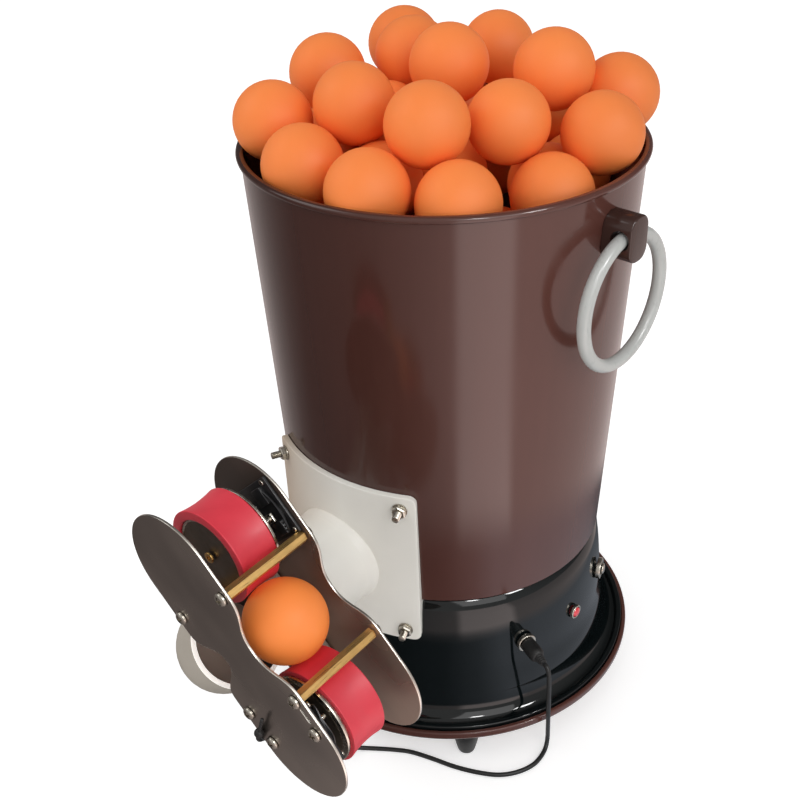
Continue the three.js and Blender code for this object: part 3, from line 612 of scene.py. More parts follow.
class Net:
    """Node tree with short ways to add nodes to it"""

    def __init__(self, tree):
        self.tree = tree

    def add(self, kind, inputs=None, **settings):
        """Node with its settings, whose named inputs are set to values or linked to outputs"""
        node = self.tree.nodes.new(kind)
        for name, value in settings.items():
            setattr(node, name, value)
        for name, value in (inputs or {}).items():
            self.feed(node.inputs[name], value)
        return node

    def feed(self, entry, value):
        if isinstance(value, bpy.types.NodeSocket):
            self.tree.links.new(value, entry)
        else:
            entry.default_value = value

    def math(self, operation, *values):
        node = self.add("ShaderNodeMath", operation=operation)
        for entry, value in zip(node.inputs, values):
            self.feed(entry, value)
        return node.outputs["Value"]

    def weighted(self, *pairs):
        """Sum of outputs, each times its weight"""
        total = self.math("MULTIPLY", *pairs[0])
        for source, weight in pairs[1:]:
            total = self.math("ADD", total, self.math("MULTIPLY", source, weight))
        return total

    def between(self, source, low, high, start=0.0, end=1.0):
        """Source read from low to high and written from start to end"""
        inputs = {"Value": source, "From Min": low, "From Max": high, "To Min": start, "To Max": end}
        return self.add("ShaderNodeMapRange", inputs).outputs["Result"]

    def mix(self, source, low, high):
        """Colour from low to high, each an output or a plain colour with its alpha"""
        node = self.add("ShaderNodeMix", {"Factor": source}, data_type="RGBA")
        colours = [entry for entry in node.inputs if entry.type == "RGBA"]
        for entry, value in zip(colours, (low, high)):
            self.feed(entry, value)
        return next(entry for entry in node.outputs if entry.type == "RGBA")

    def seen(self):
        """1 for rays of the camera, of reflections and through glass, 0 for all others"""
        path = self.add("ShaderNodeLightPath").outputs
        total = path["Is Camera Ray"]
        for name in ("Is Glossy Ray", "Is Transmission Ray"):
            total = self.math("MAXIMUM", total, path[name])
        return total


def geometry_net(name, inputs):
    """Net of a new geometry tree with named inputs, and what its input node gives"""
    tree = bpy.data.node_groups.new(name, "GeometryNodeTree")
    for label, kind in inputs.items():
        tree.interface.new_socket(label, in_out="INPUT", socket_type=f"NodeSocket{kind}")
    tree.interface.new_socket("Geometry", in_out="OUTPUT", socket_type="NodeSocketGeometry")
    net = Net(tree)
    return net, net.add("NodeGroupInput").outputs


def ended(net, geometry, material):
    """Tree that makes its geometry real and gives it its finish"""
    real = net.add("GeometryNodeRealizeInstances", {"Geometry": geometry}).outputs["Geometry"]
    paint = net.add("GeometryNodeSetMaterial", {"Geometry": real, "Material": material})
    net.add("NodeGroupOutput", {"Geometry": paint.outputs["Geometry"]})
    return net.tree


def copies_tree():
    """Tree that sets copies of a shape on points, each aimed and turned, and makes them one mesh"""
    inputs = {
        "Spots": "Geometry", "Shape": "Object", "Material": "Material", "Seed": "Int", "Tumble": "Float",
    }
    net, given = geometry_net("copies_on_spots", inputs)
    shape = net.add("GeometryNodeObjectInfo", {"Object": given["Shape"]}).outputs["Geometry"]
    spot = net.add("GeometryNodeInputPosition").outputs["Position"]
    local = net.add(
        "GeometryNodeStoreNamedAttribute",
        {"Geometry": shape, "Name": "local_spot", "Value": spot},
        data_type="FLOAT_VECTOR",
    )
    aim = net.add("GeometryNodeInputNamedAttribute", {"Name": "aim"}, data_type="FLOAT_VECTOR")
    align = net.add("FunctionNodeAlignRotationToVector", {"Vector": aim.outputs["Attribute"]}, axis="Z")
    stood = net.add(
        "GeometryNodeInstanceOnPoints",
        {
            "Points": given["Spots"], "Instance": local.outputs["Geometry"],
            "Rotation": align.outputs["Rotation"],
        },
    )
    chance = net.add(
        "FunctionNodeRandomValue", {"Max": (1, 1, 1), "Seed": given["Seed"]}, data_type="FLOAT_VECTOR"
    )
    tumble = net.add(
        "ShaderNodeVectorMath", {"Vector": chance.outputs["Value"], "Scale": given["Tumble"]},
        operation="SCALE",
    )
    tumbled = net.add(
        "GeometryNodeRotateInstances",
        {"Instances": stood.outputs["Instances"], "Rotation": tumble.outputs["Vector"]},
    )
    shade = net.add("FunctionNodeRandomValue", {"Seed": given["Seed"]}, data_type="FLOAT")
    level = next(entry for entry in shade.outputs if entry.enabled and entry.type == "VALUE")
    store = net.add(
        "GeometryNodeStoreNamedAttribute",
        {"Geometry": tumbled.outputs["Instances"], "Name": "copy_shade", "Value": level},
        data_type="FLOAT", domain="INSTANCE",
    )
    return ended(net, store.outputs["Geometry"], given["Material"])


def wire_tree():
    """Tree that lays a round tube along a line of points"""
    inputs = {"Path": "Geometry", "Radius": "Float", "Sides": "Int", "Material": "Material"}
    net, given = geometry_net("tube_on_path", inputs)
    line = net.add("GeometryNodeMeshToCurve", {"Mesh": given["Path"]})
    circle = {"Radius": given["Radius"], "Resolution": given["Sides"]}
    section = net.add("GeometryNodeCurvePrimitiveCircle", circle)
    ends = {"Curve": line.outputs["Curve"], "Profile Curve": section.outputs["Curve"], "Fill Caps": True}
    tube = net.add("GeometryNodeCurveToMesh", ends)
    return ended(net, tube.outputs["Mesh"], given["Material"])


def run_tree(mesh, tree, **values):
    """Plain mesh that a node tree makes of a mesh, with the tree's inputs set by identifier"""
    obj = shown("work", mesh)
    change = obj.modifiers.new("nodes", "NODES")
    change.node_group = tree
    for entry in tree.interface.items_tree:
        if entry.in_out == "INPUT" and entry.name.lower() in values:
            change[entry.identifier] = values[entry.name.lower()]
    return settled(obj)


def copies(shape, spots, material, seed=1, tumble=0.0):
    """One mesh with a copy of shape at each spot, a place and the way that its top points"""
    points = bpy.data.meshes.new("spots")
    points.from_pydata([tuple(spot) for spot, _ in spots], [], [])
    aims = points.attributes.new("aim", "FLOAT_VECTOR", "POINT")
    for value, (_, way) in zip(aims.data, spots):
        value.vector = Vector(way)
    shape.shade_smooth()
    model = shown("copied", shape)
    tree = bpy.data.node_groups.get("copies_on_spots") or copies_tree()
    values = {"shape": model, "material": bpy.data.materials[material], "seed": seed, "tumble": tumble}
    result = run_tree(points, tree, **values)
    bpy.data.objects.remove(model)
    return result


# Finishes


class Finish(Net):
    """One procedural material, read in the piece's own coordinates"""

    def __init__(self, name, colour, roughness, metallic=0.0, specular=0.5):
        self.material = bpy.data.materials.new(name)
        self.material.use_nodes = True
        super().__init__(self.material.node_tree)
        self.shader = self.tree.nodes["Principled BSDF"].inputs
        self.colour = colour
        self.relief = None
        self.place = self.add("ShaderNodeTexCoord").outputs["Object"]
        self.set("Base Color", (*colour, 1))
        self.set("Roughness", roughness)
        self.set("Metallic", metallic)
        self.set("Specular IOR Level", specular)

    def set(self, name, value):
        """Sets one of the shader's inputs, or links it to an output"""
        self.feed(self.shader[name], value)

    def mapped(self, stretch=(1, 1, 1), frame=None):
        """Coordinates stretched along the axes of a frame"""
        spot = self.place
        if frame is not None:
            back = frame.inverted()
            into = {"Vector": spot, "Rotation": back.to_euler(), "Location": back.to_translation()}
            spot = self.add("ShaderNodeMapping", into).outputs["Vector"]
        return self.add("ShaderNodeMapping", {"Vector": spot, "Scale": stretch}).outputs["Vector"]

    def along(self, axis, frame=None):
        """One coordinate, along x, y or z of a frame"""
        return self.add("ShaderNodeSeparateXYZ", {"Vector": self.mapped(frame=frame)}).outputs[axis]

    def noise(self, scale, detail=3.0, stretch=(1, 1, 1), frame=None):
        inputs = {"Vector": self.mapped(stretch, frame), "Scale": scale, "Detail": detail}
        return self.add("ShaderNodeTexNoise", inputs).outputs["Fac"]

    def attribute(self, name, output):
        return self.add("ShaderNodeAttribute", attribute_name=name).outputs[output]

    def paint(self, source, darker, lighter):
        """Colour that runs from a darker to a lighter share of the finish's own"""
        tone = self.mix(source, shaded(self.colour, darker), shaded(self.colour, lighter))
        self.set("Base Color", tone)
        return tone

    def gloss(self, source, low, high):
        """Roughness from low to high, over the middle of what a noise gives"""
        self.set("Roughness", self.between(source, 0.3, 0.7, low, high))

    def glow(self, colour, strength):
        self.set("Emission Color", (*colour, 1))
        self.set("Emission Strength", strength)

    def bump(self, source, depth, strength=1.0):
        """Relief of that depth in metres, over what earlier calls gave"""
        inputs = {"Height": source, "Distance": depth, "Strength": strength}
        if self.relief is not None:
            inputs["Normal"] = self.relief
        self.relief = self.add("ShaderNodeBump", inputs).outputs["Normal"]
        self.set("Normal", self.relief)


def shaded(colour, share_of, most=1.0):
    """Darker or lighter share of a colour, with its alpha"""
    return (*[min(most, value * share_of) for value in colour], 1)


# Painted shade on the brown: its way from dark to light, as a rise per metre to the right and to the back of
# the hopper
BROWN_SHADE_RISE, BROWN_SHADE_ENDS = (7.5, 6.6), (-0.95, 0.35)
# Where the flange turns from the painted shade at its left to its own tone, and the plates from their upper
# end's painted light on the near plate and painted shade on the far plate
WHITE_SHADE_TURN, STEEL_LIGHT_TURN = (-0.046, 0.008), (-0.055, 0.05)


def moulded_brown(name, colour, depth):
    """Glossy moulded plastic with painted shade towards one side, faint upright flow lines and scratches"""
    finish = Finish(name, colour, 0.12, specular=0.45)
    flow = finish.noise(9.0, 4.0, (14, 14, 0.35))
    clouds = finish.noise(11.0, 3.0)
    # Painted shade: the colour falls to the share depth of its own towards the front left
    back = finish.math("SUBTRACT", finish.along("Y"), AXIS_Y)
    rise = finish.weighted((finish.along("X"), BROWN_SHADE_RISE[0]), (back, BROWN_SHADE_RISE[1]))
    across = finish.between(rise, *BROWN_SHADE_ENDS)
    finish.paint(finish.weighted((across, 0.8), (flow, 0.12), (clouds, 0.08)), depth, 1.0)
    scratch = finish.noise(55.0, 2.0, (1.0, 1.0, 0.04), Matrix.Rotation(radians(24), 4, "X"))
    lines = finish.between(scratch, 0.69, 0.72)
    finish.gloss(finish.math("MAXIMUM", clouds, lines), 0.09, 0.2)
    finish.bump(lines, 0.00003, 0.4)
    finish.bump(finish.noise(220.0, 2.0), 0.00002, 0.2)


def moulded_black(colour):
    """High-gloss black plastic with a little dust and faint swirls"""
    finish = Finish("black_plastic", colour, 0.06, specular=0.4)
    dust = finish.noise(900.0, 2.0)
    swirl = finish.noise(24.0, 4.0, (1, 1, 2.5))
    finish.paint(finish.between(dust, 0.72, 0.8), 1.0, 3.0)
    finish.gloss(swirl, 0.04, 0.1)
    finish.bump(finish.noise(60.0, 2.0), 0.00003, 0.15)


def motor_black(colour):
    """Satin black of the motors and their boards"""
    finish = Finish("motor_black", colour, 0.38, specular=0.4)
    grain = finish.noise(700.0, 3.0)
    finish.paint(grain, 0.85, 1.2)
    finish.gloss(grain, 0.32, 0.44)
    finish.bump(grain, 0.00002, 0.2)


def soft_rubber(colour):
    """Black rubber and cable jacket"""
    finish = Finish("rubber_black", colour, 0.5, specular=0.4)
    grain = finish.noise(500.0, 4.0)
    finish.paint(grain, 0.7, 1.5)
    finish.gloss(finish.noise(90.0), 0.4, 0.6)
    finish.bump(grain, 0.00005, 0.5)


def satin_grey(colour):
    """Light grey plastic of the ring handles, with fine scuffs"""
    finish = Finish("grey_plastic", colour, 0.32, specular=0.5)
    clouds = finish.noise(40.0, 4.0)
    scuff = finish.between(finish.noise(420.0, 2.0, (1, 1, 0.2)), 0.62, 0.7)
    finish.paint(finish.math("SUBTRACT", clouds, finish.math("MULTIPLY", scuff, 0.35)), 0.88, 1.1)
    finish.gloss(clouds, 0.16, 0.28)
    finish.bump(finish.noise(260.0, 2.0), 0.00003, 0.4)


def printed_plastic(name, colour, glow=0.0, painted_shade_tone=None):
    """Printed plastic with fine layer lines: it may glow faintly as painted light, or turn to a painted shade
    at its left
    """
    finish = Finish(name, colour, 0.45, specular=0.45)
    # Painted light: a faint glow in the finish's own colour, where glow is over 0
    finish.glow(colour, glow)
    clouds = finish.noise(30.0, 3.0)
    layers = {"Vector": finish.mapped(), "Scale": 420.0, "Distortion": 0.6, "Detail": 1.0}
    waves = finish.add("ShaderNodeTexWave", layers, wave_type="BANDS", bands_direction="Z")
    tone = finish.paint(clouds, 0.95, 1.06)
    # Painted shade: the left side turns to the given shaded tone
    if painted_shade_tone is not None:
        share_unshaded = finish.between(finish.along("X"), *WHITE_SHADE_TURN)
        finish.set("Base Color", finish.mix(share_unshaded, (*painted_shade_tone, 1), tone))
    finish.gloss(clouds, 0.36, 0.52)
    finish.bump(waves.outputs["Fac"], 0.00004, 0.22)
    finish.bump(finish.noise(160.0, 2.0), 0.00005, 0.2)


def brushed_steel(name, colour, frame, low, high, metal=1.0, upper=1.0):
    """Steel with hairlines along the plates, whose upper end gets painted light when upper is over 1 and
    painted shade when it is under 1
    """
    finish = Finish(name, colour, low, metallic=metal)
    hair = finish.noise(40.0, 4.0, (1.0, 60.0, 60.0), frame)
    smear = finish.between(finish.noise(14.0, 2.0, (1, 1.6, 1), frame), 0.32, 0.68)
    streaks = finish.between(finish.weighted((hair, 0.25), (smear, 0.75)), 0.0, 1.0, 0.5, 1.0)
    # Painted light (upper over 1) and painted shade (upper under 1) towards the plate's upper end
    level = finish.between(finish.along("X", frame), *STEEL_LIGHT_TURN, upper, 1.0)
    finish.paint(finish.math("MULTIPLY", streaks, level), 0.0, 1.35)
    finish.gloss(smear, low, high)
    finish.bump(hair, 0.00002, 0.25)


def bright_zinc(colour):
    """Zinc-plated screws and rims with a faint yellow bloom"""
    finish = Finish("zinc_plate", colour, 0.24, metallic=1.0)
    bloom = finish.noise(350.0, 3.0)
    finish.paint(bloom, 0.75, 1.2)
    finish.gloss(bloom, 0.18, 0.34)
    finish.bump(finish.noise(1500.0, 2.0), 0.00003, 0.3)


def drawn_brass(colour, frame):
    """Drawn brass with lines along the standoffs"""
    finish = Finish("brass_drawn", colour, 0.3, metallic=1.0)
    lines = finish.noise(90.0, 3.0, (14.0, 14.0, 1.0), frame)
    finish.paint(finish.noise(120.0, 3.0), 0.75, 1.25)
    finish.gloss(lines, 0.24, 0.42)
    finish.bump(lines, 0.00004, 0.4)


def turned_drum(colour):
    """Dark metal turned in fine circles"""
    finish = Finish("drum_metal", colour, 0.34, metallic=0.9)
    grain = finish.noise(260.0, 4.0)
    finish.paint(finish.noise(45.0, 3.0), 0.7, 1.4)
    finish.gloss(grain, 0.28, 0.46)
    finish.bump(grain, 0.00003, 0.5)


def red_silicone(colour):
    """Satin silicone with a fine grain and darker rubbed patches"""
    finish = Finish("red_silicone", colour, 0.46, specular=0.4)
    clouds = finish.noise(70.0, 4.0)
    finish.paint(clouds, 0.86, 1.1)
    finish.gloss(clouds, 0.38, 0.56)
    finish.set("Sheen Weight", 0.05)
    finish.bump(finish.noise(900.0, 3.0), 0.00005, 0.35)


def lamp_red(colour):
    """Clear red lens that glows a little"""
    finish = Finish("lens_red", colour, 0.12, specular=0.6)
    finish.paint(finish.noise(500.0, 2.0), 0.8, 1.4)
    finish.glow((0.9, 0.05, 0.07), 0.25)
    finish.set("Coat Weight", 0.6)
    finish.bump(finish.noise(1200.0), 0.00004, 0.4)


def matte_ball(name, colour, glow=0.0):
    """Matte ball with a faint seam and a slightly different tone on each, which may glow faintly as painted
    light
    """
    finish = Finish(name, colour, 0.55, specular=0.22)
    finish.glow(colour, glow)
    clouds = finish.noise(60.0, 3.0)
    finish.paint(finish.weighted((finish.attribute("copy_shade", "Fac"), 0.7), (clouds, 0.3)), 0.93, 1.06)
    local = finish.attribute("local_spot", "Vector")
    height = finish.add("ShaderNodeSeparateXYZ", {"Vector": local}).outputs["Z"]
    seam = finish.between(finish.math("ABSOLUTE", height), 0.0, 0.00025, 1.0, 0.0)
    finish.gloss(clouds, 0.5, 0.62)
    finish.set("Subsurface Weight", 0.08)
    finish.set("Subsurface Radius", (0.004, 0.0015, 0.0006))
    finish.bump(seam, 0.00003, 0.4)
    finish.bump(finish.noise(1400.0, 2.0), 0.00002, 0.3)


def green_board(colour):
    """Solder mask with fine tracks"""
    finish = Finish("green_board", colour, 0.35)
    tracks = finish.between(finish.noise(160.0, 0.0, (1, 4, 1)), 0.5, 0.52)
    finish.paint(tracks, 0.7, 1.8)
    finish.gloss(tracks, 0.3, 0.4)
    finish.bump(tracks, 0.00005, 0.5)


class ROBOT_OT_finishes(bpy.types.Operator):
    """Makes the materials"""

    bl_idname = "robot.finishes"
    bl_label = "Finishes"

    def execute(self, context):
        looks, head = context.scene.robot_finishes, head_frame()
        # Hopper, saucer and lugs carry painted shade, darkest towards the front left
        moulded_brown("brown_plastic", looks.brown, 0.2)
        moulded_brown("brown_lug", looks.lug, 0.8)
        moulded_black(looks.black)
        motor_black(looks.motor)
        soft_rubber(looks.rubber)
        satin_grey(looks.grey)
        # The flange's left side gets painted shade
        printed_plastic("white_print", looks.white, painted_shade_tone=looks.flange_painted_shade)
        # Elbow: painted shade outside and in the bore, painted light with a faint glow on the mouth's ring
        printed_plastic("white_elbow", looks.elbow)
        printed_plastic("white_bore", looks.bore)
        printed_plastic("white_mouth", looks.mouth, 0.32)
        # Near plate: painted light on its upper end. Far plate: painted shade on its upper end and a warm
        # painted reflection
        brushed_steel("steel_near", looks.steel, head, 0.2, 0.32, 1.0, 1.35)
        brushed_steel("steel_far", looks.steel_far, head, 0.26, 0.4, 0.6, 0.16)
        brushed_steel("steel_edge", looks.steel_edge, head, 0.3, 0.45)
        bright_zinc(looks.zinc)
        drawn_brass(looks.brass, head)
        turned_drum(looks.drum)
        red_silicone(looks.red)
        lamp_red(looks.lens)
        matte_ball("orange_ball", looks.orange)
        matte_ball("orange_lit", looks.orange_lit, 0.09)
        green_board(looks.board)
        return {"FINISHED"}


# Stage: the camera as fitted to the photograph, and lamps and cards, from the hopper's axis on the floor

CAMERA_LENS, SENSOR_WIDTH, NEAR_CLIP = 52.78, 36.0, 0.01
CAMERA_RIGHT, CAMERA_UP = Vector((0.75203, 0.65841, -0.03068)), Vector((-0.33196, 0.41856, 0.84535))
CAMERA_AHEAD = Vector((-0.56943, 0.62554, -0.53334))
CAMERA_SPOT = Vector((0.36417, -0.43909 + AXIS_Y, 0.53404))
LAMPS = {"key": ((-1.1, -1.0, 1.5), (1.2, 1.2)), "fill": ((1.4, -0.7, 1.1), (1.0, 1.4))}
WINDOWS = [((1.2, 0.02, 1.1), 0.26), ((0.94, -0.57, 1.16), 0.16)]
LAMP_AIM = Vector((0, 0, 0.18))
FLOOR_REACH, STAGE_SIDES = 6.0, 64
CARD_RADII, CARD_HEIGHTS, CARD_TURN = (0.12, 3), (0.0002, 0.0004), (0.2, 0.235)
DOME_RADIUS, DOME_SHELL, DOME_FOOT = 3.2, 1.02, -0.1

# Glow of the cards: turns round the axis in degrees and levels, far and near on the floor and in the sky
FAR_AROUND = [
    (-180, 0.5), (-140, 0.16), (-100, 0.2), (-75, 0.4), (-46, 0.8), (-42, 2.3), (-14, 2.6), (-10, 1.1),
    (60, 0.8), (180, 0.5),
]
CLOSE_AROUND = [
    (-180, 0.1), (-75, 0.04), (-52, 0.1), (-35, 0.34), (-22, 0.75), (0, 0.75), (40, 0.45), (75, 0.12),
    (180, 0.1),
]
SKY_AROUND = [
    (-180, 0.12), (-140, 0.3), (-100, 0.6), (-50, 0.7), (0, 0.6), (40, 0.3), (80, 0.1), (180, 0.12),
]
FAR_TINT, CLOSE_TINT, SKY_TINT = (1.0, 0.86, 0.83), (0.88, 0.94, 1.05), (1.0, 0.98, 0.96)
MOST_GLOW = 9.0


class ROBOT_OT_stage(bpy.types.Operator):
    """Sets the camera, the floor, the lamps and the world"""

    bl_idname = "robot.stage"
    bl_label = "Stage"

    def execute(self, context):
        scene, look = context.scene, context.scene.robot_stage
        scene.view_settings.view_transform = "Standard"
        self.set_camera(scene)
        self.set_floor(look)
        self.set_world(scene, look)
        for name, (spot, size) in LAMPS.items():
            self.lamp(f"{name}_lamp", spot, size, getattr(look, name))
        for i, (spot, side) in enumerate(WINDOWS):
            share_of = (side / WINDOWS[0][1]) ** 2
            window = self.lamp(f"window_{i + 1}", spot, (side, side), look.window * share_of)
            window.visible_diffuse = window.visible_transmission = False
        self.set_card()
        self.set_dome()
        return {"FINISHED"}

    def set_camera(self, scene):
        camera = bpy.data.cameras.new("photo_camera")
        camera.lens, camera.sensor_width, camera.clip_start = CAMERA_LENS, SENSOR_WIDTH, NEAR_CLIP
        holder = shown("photo_camera", camera)
        holder.matrix_world = frame_from(CAMERA_RIGHT, CAMERA_UP, -CAMERA_AHEAD, CAMERA_SPOT)
        scene.camera = holder

    def set_floor(self, look):
        """Pale floor that helps its own white where the camera, a reflection or glass shows it"""
        work = bmesh.new()
        bmesh.ops.create_grid(work, x_segments=8, y_segments=8, size=FLOOR_REACH)
        floor = shown("floor", finished(work))
        finish = Finish("floor_white", look.floor, 0.9, specular=0.1)
        finish.glow((1, 1, 1), finish.math("MULTIPLY", finish.seen(), look.floor_glow))
        floor.data.materials.append(finish.material)

    def set_card(self):
        """Ring on the floor that only reflections show: dark in front, bright at the right"""
        (inner, outer), (low, high) = CARD_RADII, CARD_HEIGHTS
        ring = turned([(inner, low), (outer, low), (outer, high), (inner, high)], STAGE_SIDES)
        net, place, glow = self.reflected(shown("reflection_card", ring))
        reach = net.add("ShaderNodeVectorMath", {"Vector": place}, operation="LENGTH").outputs["Value"]
        close = self.ramp(net, place, CLOSE_AROUND, CLOSE_TINT)
        far = self.ramp(net, place, FAR_AROUND, FAR_TINT)
        net.feed(glow, net.mix(net.between(reach, *CARD_TURN), close, far))

    def set_dome(self):
        """Sky that only reflections show, dark behind the robot"""
        rise = steps_between(DOME_FOOT, pi / 2, 24)
        inside = [(DOME_RADIUS * cos(a), DOME_RADIUS * sin(a)) for a in rise]
        outside = [(radius * DOME_SHELL, height * DOME_SHELL) for radius, height in reversed(inside)]
        net, place, glow = self.reflected(shown("reflection_dome", turned(inside + outside, STAGE_SIDES)))
        net.feed(glow, self.ramp(net, place, SKY_AROUND, SKY_TINT))

    def reflected(self, card):
        """Gives a shape a glow that only reflections show: its net, its coordinates and the glow's colour"""
        card.matrix_world = Matrix.Translation((0, AXIS_Y, 0))
        card.visible_camera = card.visible_diffuse = card.visible_transmission = card.visible_shadow = False
        material = bpy.data.materials.new(card.name)
        material.use_nodes = True
        material.node_tree.nodes.clear()
        card.data.materials.append(material)
        net = Net(material.node_tree)
        glow = net.add("ShaderNodeEmission")
        net.add("ShaderNodeOutputMaterial", {"Surface": glow.outputs["Emission"]})
        return net, net.add("ShaderNodeTexCoord").outputs["Object"], glow.inputs["Color"]

    def ramp(self, net, place, stops, colour):
        """Colour that follows a list of turns round the axis and levels"""
        angle = net.add("ShaderNodeTexGradient", {"Vector": place}, gradient_type="RADIAL")
        node = net.add("ShaderNodeValToRGB", {"Fac": angle.outputs["Fac"]})
        elements = node.color_ramp.elements
        while len(elements) < len(stops):
            elements.new(0.5)
        for element, (degrees, level) in zip(elements, stops):
            element.position = (degrees + 180) / 360
            element.color = shaded(colour, level, MOST_GLOW)
        return node.outputs["Color"]

    def set_world(self, scene, look):
        """Even light from all sides, which the camera, reflections and glass see as white"""
        world = scene.world or bpy.data.worlds.new("studio")
        scene.world = world
        world.use_nodes = True
        net, ground = Net(world.node_tree), world.node_tree.nodes["Background"].inputs
        net.feed(ground["Color"], (1, 1, 1, 1))
        net.feed(ground["Strength"], net.between(net.seen(), 0.0, 1.0, look.ambient, 1.0))

    def lamp(self, name, spot, size, energy):
        """Flat lamp that faces the robot"""
        light = bpy.data.lights.new(name, "AREA")
        light.shape = "RECTANGLE"
        light.size, light.size_y = size
        light.energy = energy
        holder = shown(name, light)
        spot = Vector(spot) + Vector((0, AXIS_Y, 0))
        facing_robot = (LAMP_AIM - spot).to_track_quat("-Z", "Y").to_matrix().to_4x4()
        holder.matrix_world = Matrix.Translation(spot) @ facing_robot
        return holder


# Lead: its route in millimetres from the hopper's axis

LEAD_POINTS = [
    (106, -45.2, 65.7), (107.4, -45.8, 65.7), (109.4, -46.6, 63.2), (110.1, -46.7, 57), (110.1, -46, 38),
    (108.6, -43.2, 16.8), (108.1, -42.3, 7), (109, -44.9, 2.4), (110.4, -51.2, 1.5), (110.5, -59.5, 1.5),
    (106.94, -68.94, 1.5), (100.44, -77.06, 1.5), (90.89, -83.15, 1.5), (77.39, -88.84, 1.5),
    (62.26, -93, 1.5), (50.59, -96.96, 1.5), (42.97, -101.43, 1.5), (35.77, -106.4, 1.5),
    (28.55, -112.18, 1.96), (22.61, -119.9, 4.8), (18.94, -131.27, 11.36), (18.81, -144.99, 23.24),
    (22, -160, 40), (28, -173.5, 57), (38.89, -182, 77.71), (47.05, -188.64, 92.69),
    (49.15, -194.86, 98.04), (50.41, -199.54, 101.62), (51.64, -202.66, 104.46), (53.39, -204.74, 108.01),
    (54.1, -205.29, 110), (54.68, -205.5, 111.49),
]


class ROBOT_OT_lead(bpy.types.Operator):
    """Lays the lead from its plug round under the head and up to its strain relief"""

    bl_idname = "robot.lead"
    bl_label = "Lead"

    def execute(self, context):
        sizes = context.scene.robot_lead
        points = [spot_at(*point) for point in LEAD_POINTS]
        path = smooth_path(points)
        line = bpy.data.meshes.new("path")
        line.from_pydata([tuple(spot) for spot in path], [(i, i + 1) for i in range(len(path) - 1)], [])
        rubber = bpy.data.materials["rubber_black"]
        mesh = run_tree(line, wire_tree(), radius=sizes.radius, sides=sizes.sides, material=rubber)
        lead = piece("head_lead", mesh, "rubber_black", None, "lead")
        plug = piece("head_lead_plug", self.plug(context), "rubber_black", "base", "lead_plug")
        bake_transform(lead)
        return {"FINISHED"}

    def plug(self, context):
        """Moulded plug whose neck has four ribs, each a little thinner than the one before"""
        body, rib, gap, thinner = 0.0044, 0.0008, 0.0013, 0.0002
        profile = [(0, 0), (body, 0, 0.0004), (body, 0.0098, 0.0008), (0.0036, 0.0115, 0.0006)]
        for i in range(4):
            foot, width = 0.0119 + i * gap, 0.0027 - i * thinner
            profile += [(width, foot, 0.0002), (width, foot + rib, 0.0002), (width - 0.0005, foot + 0.0011)]
        profile += [(0.0019, 0.0174, 0.0003), (0, 0.0175)]
        place = Places(context.scene).control(*JACK, JACK_NUT_DEPTH + CLEARANCE)
        return placed(turned(profile, 40), place)


# Base


class ROBOT_OT_saucer(bpy.types.Operator):
    """Builds the saucer and its feet"""

    bl_idname = "robot.saucer"
    bl_label = "Saucer and feet"

    def execute(self, context):
        base, places = context.scene.robot_base, Places(context.scene)
        low, top = places.saucer_z, places.saucer_z + base.saucer_height
        radius, inside = base.saucer_radius, base.saucer_radius - base.saucer_wall
        dish = turned(
            [
                (0, low),
                (radius * 0.93, low, 0.002),
                (radius - 0.0012, low + 0.0006, 0.0012),
                (radius, low + 0.0022, 0.0012),
                (radius, top, 0.0011),
                (inside, top, 0.0008),
                (inside, low + base.saucer_floor, 0.001),
                (0, low + base.saucer_floor),
            ],
            160,
        )
        piece("saucer_dish", placed(dish, places.middle), "brown_plastic", "base", "saucer")
        tip, wide, height = base.foot_tip, base.foot_radius, base.foot_height - CLEARANCE
        foot = turned(
            [
                (0, 0), (tip, 0, 0.0018), (wide - 0.0012, height * 0.4, 0.003),
                (wide - 0.0002, height * 0.75, 0.002), (wide, height, 0.0003), (0, height),
            ],
            40,
        )
        reach = radius - base.foot_inset
        half_step = pi / base.feet
        spots = [
            (Vector((reach * cos(a + half_step), reach * sin(a + half_step) + AXIS_Y, 0)), (0, 0, 1))
            for a in turns(base.feet)
        ]
        feet = copies(foot, spots, "rubber_black")
        piece("rubber_feet", feet, "rubber_black", "base", *[f"foot_{i + 1}" for i in range(base.feet)])
        return {"FINISHED"}


class ROBOT_OT_housing(bpy.types.Operator):
    """Builds the glossy housing with the tray round it"""

    bl_idname = "robot.housing"
    bl_label = "Base housing"

    def execute(self, context):
        base, places = context.scene.robot_base, Places(context.scene)
        tray = base.saucer_radius - base.saucer_wall - CLEARANCE
        rim, floor, deck = places.deck_z + base.tray_rim, places.housing_z, places.deck_z
        ceiling = places.housing_top - base.wall
        inner = base.radius - 2 * base.wall
        outline = [(radius, height, 0.005) for radius, height in places.housing_outline()[3:-1]]
        flare = [
            (base.radius + base.flare * (1 - sin(a)), deck + base.flare_height * (1 - cos(a)))
            for a in steps_between(0, pi / 2, 16)
        ]
        top = places.housing_outline()[-1]
        profile = [
            (inner, floor),
            (tray, floor, 0.0004),
            (tray, rim, 0.0009),
            (tray - base.tray_rim_width, rim, 0.0009),
            (tray - base.tray_rim_width - 0.0012, deck, 0.0012),
            *flare,
            *outline,
            (top[0], top[1], 0.003),
            (SHAFT_HOLE, places.housing_top),
            (SHAFT_HOLE, ceiling),
            (places.housing_outline()[-3][0] - base.wall, ceiling, 0.003),
            (inner, deck + base.wall, 0.003),
        ]
        shell = turned(profile, 160, 6)
        piece("housing_shell", placed(shell, places.middle), "black_plastic", "base", "base_housing")
        return {"FINISHED"}


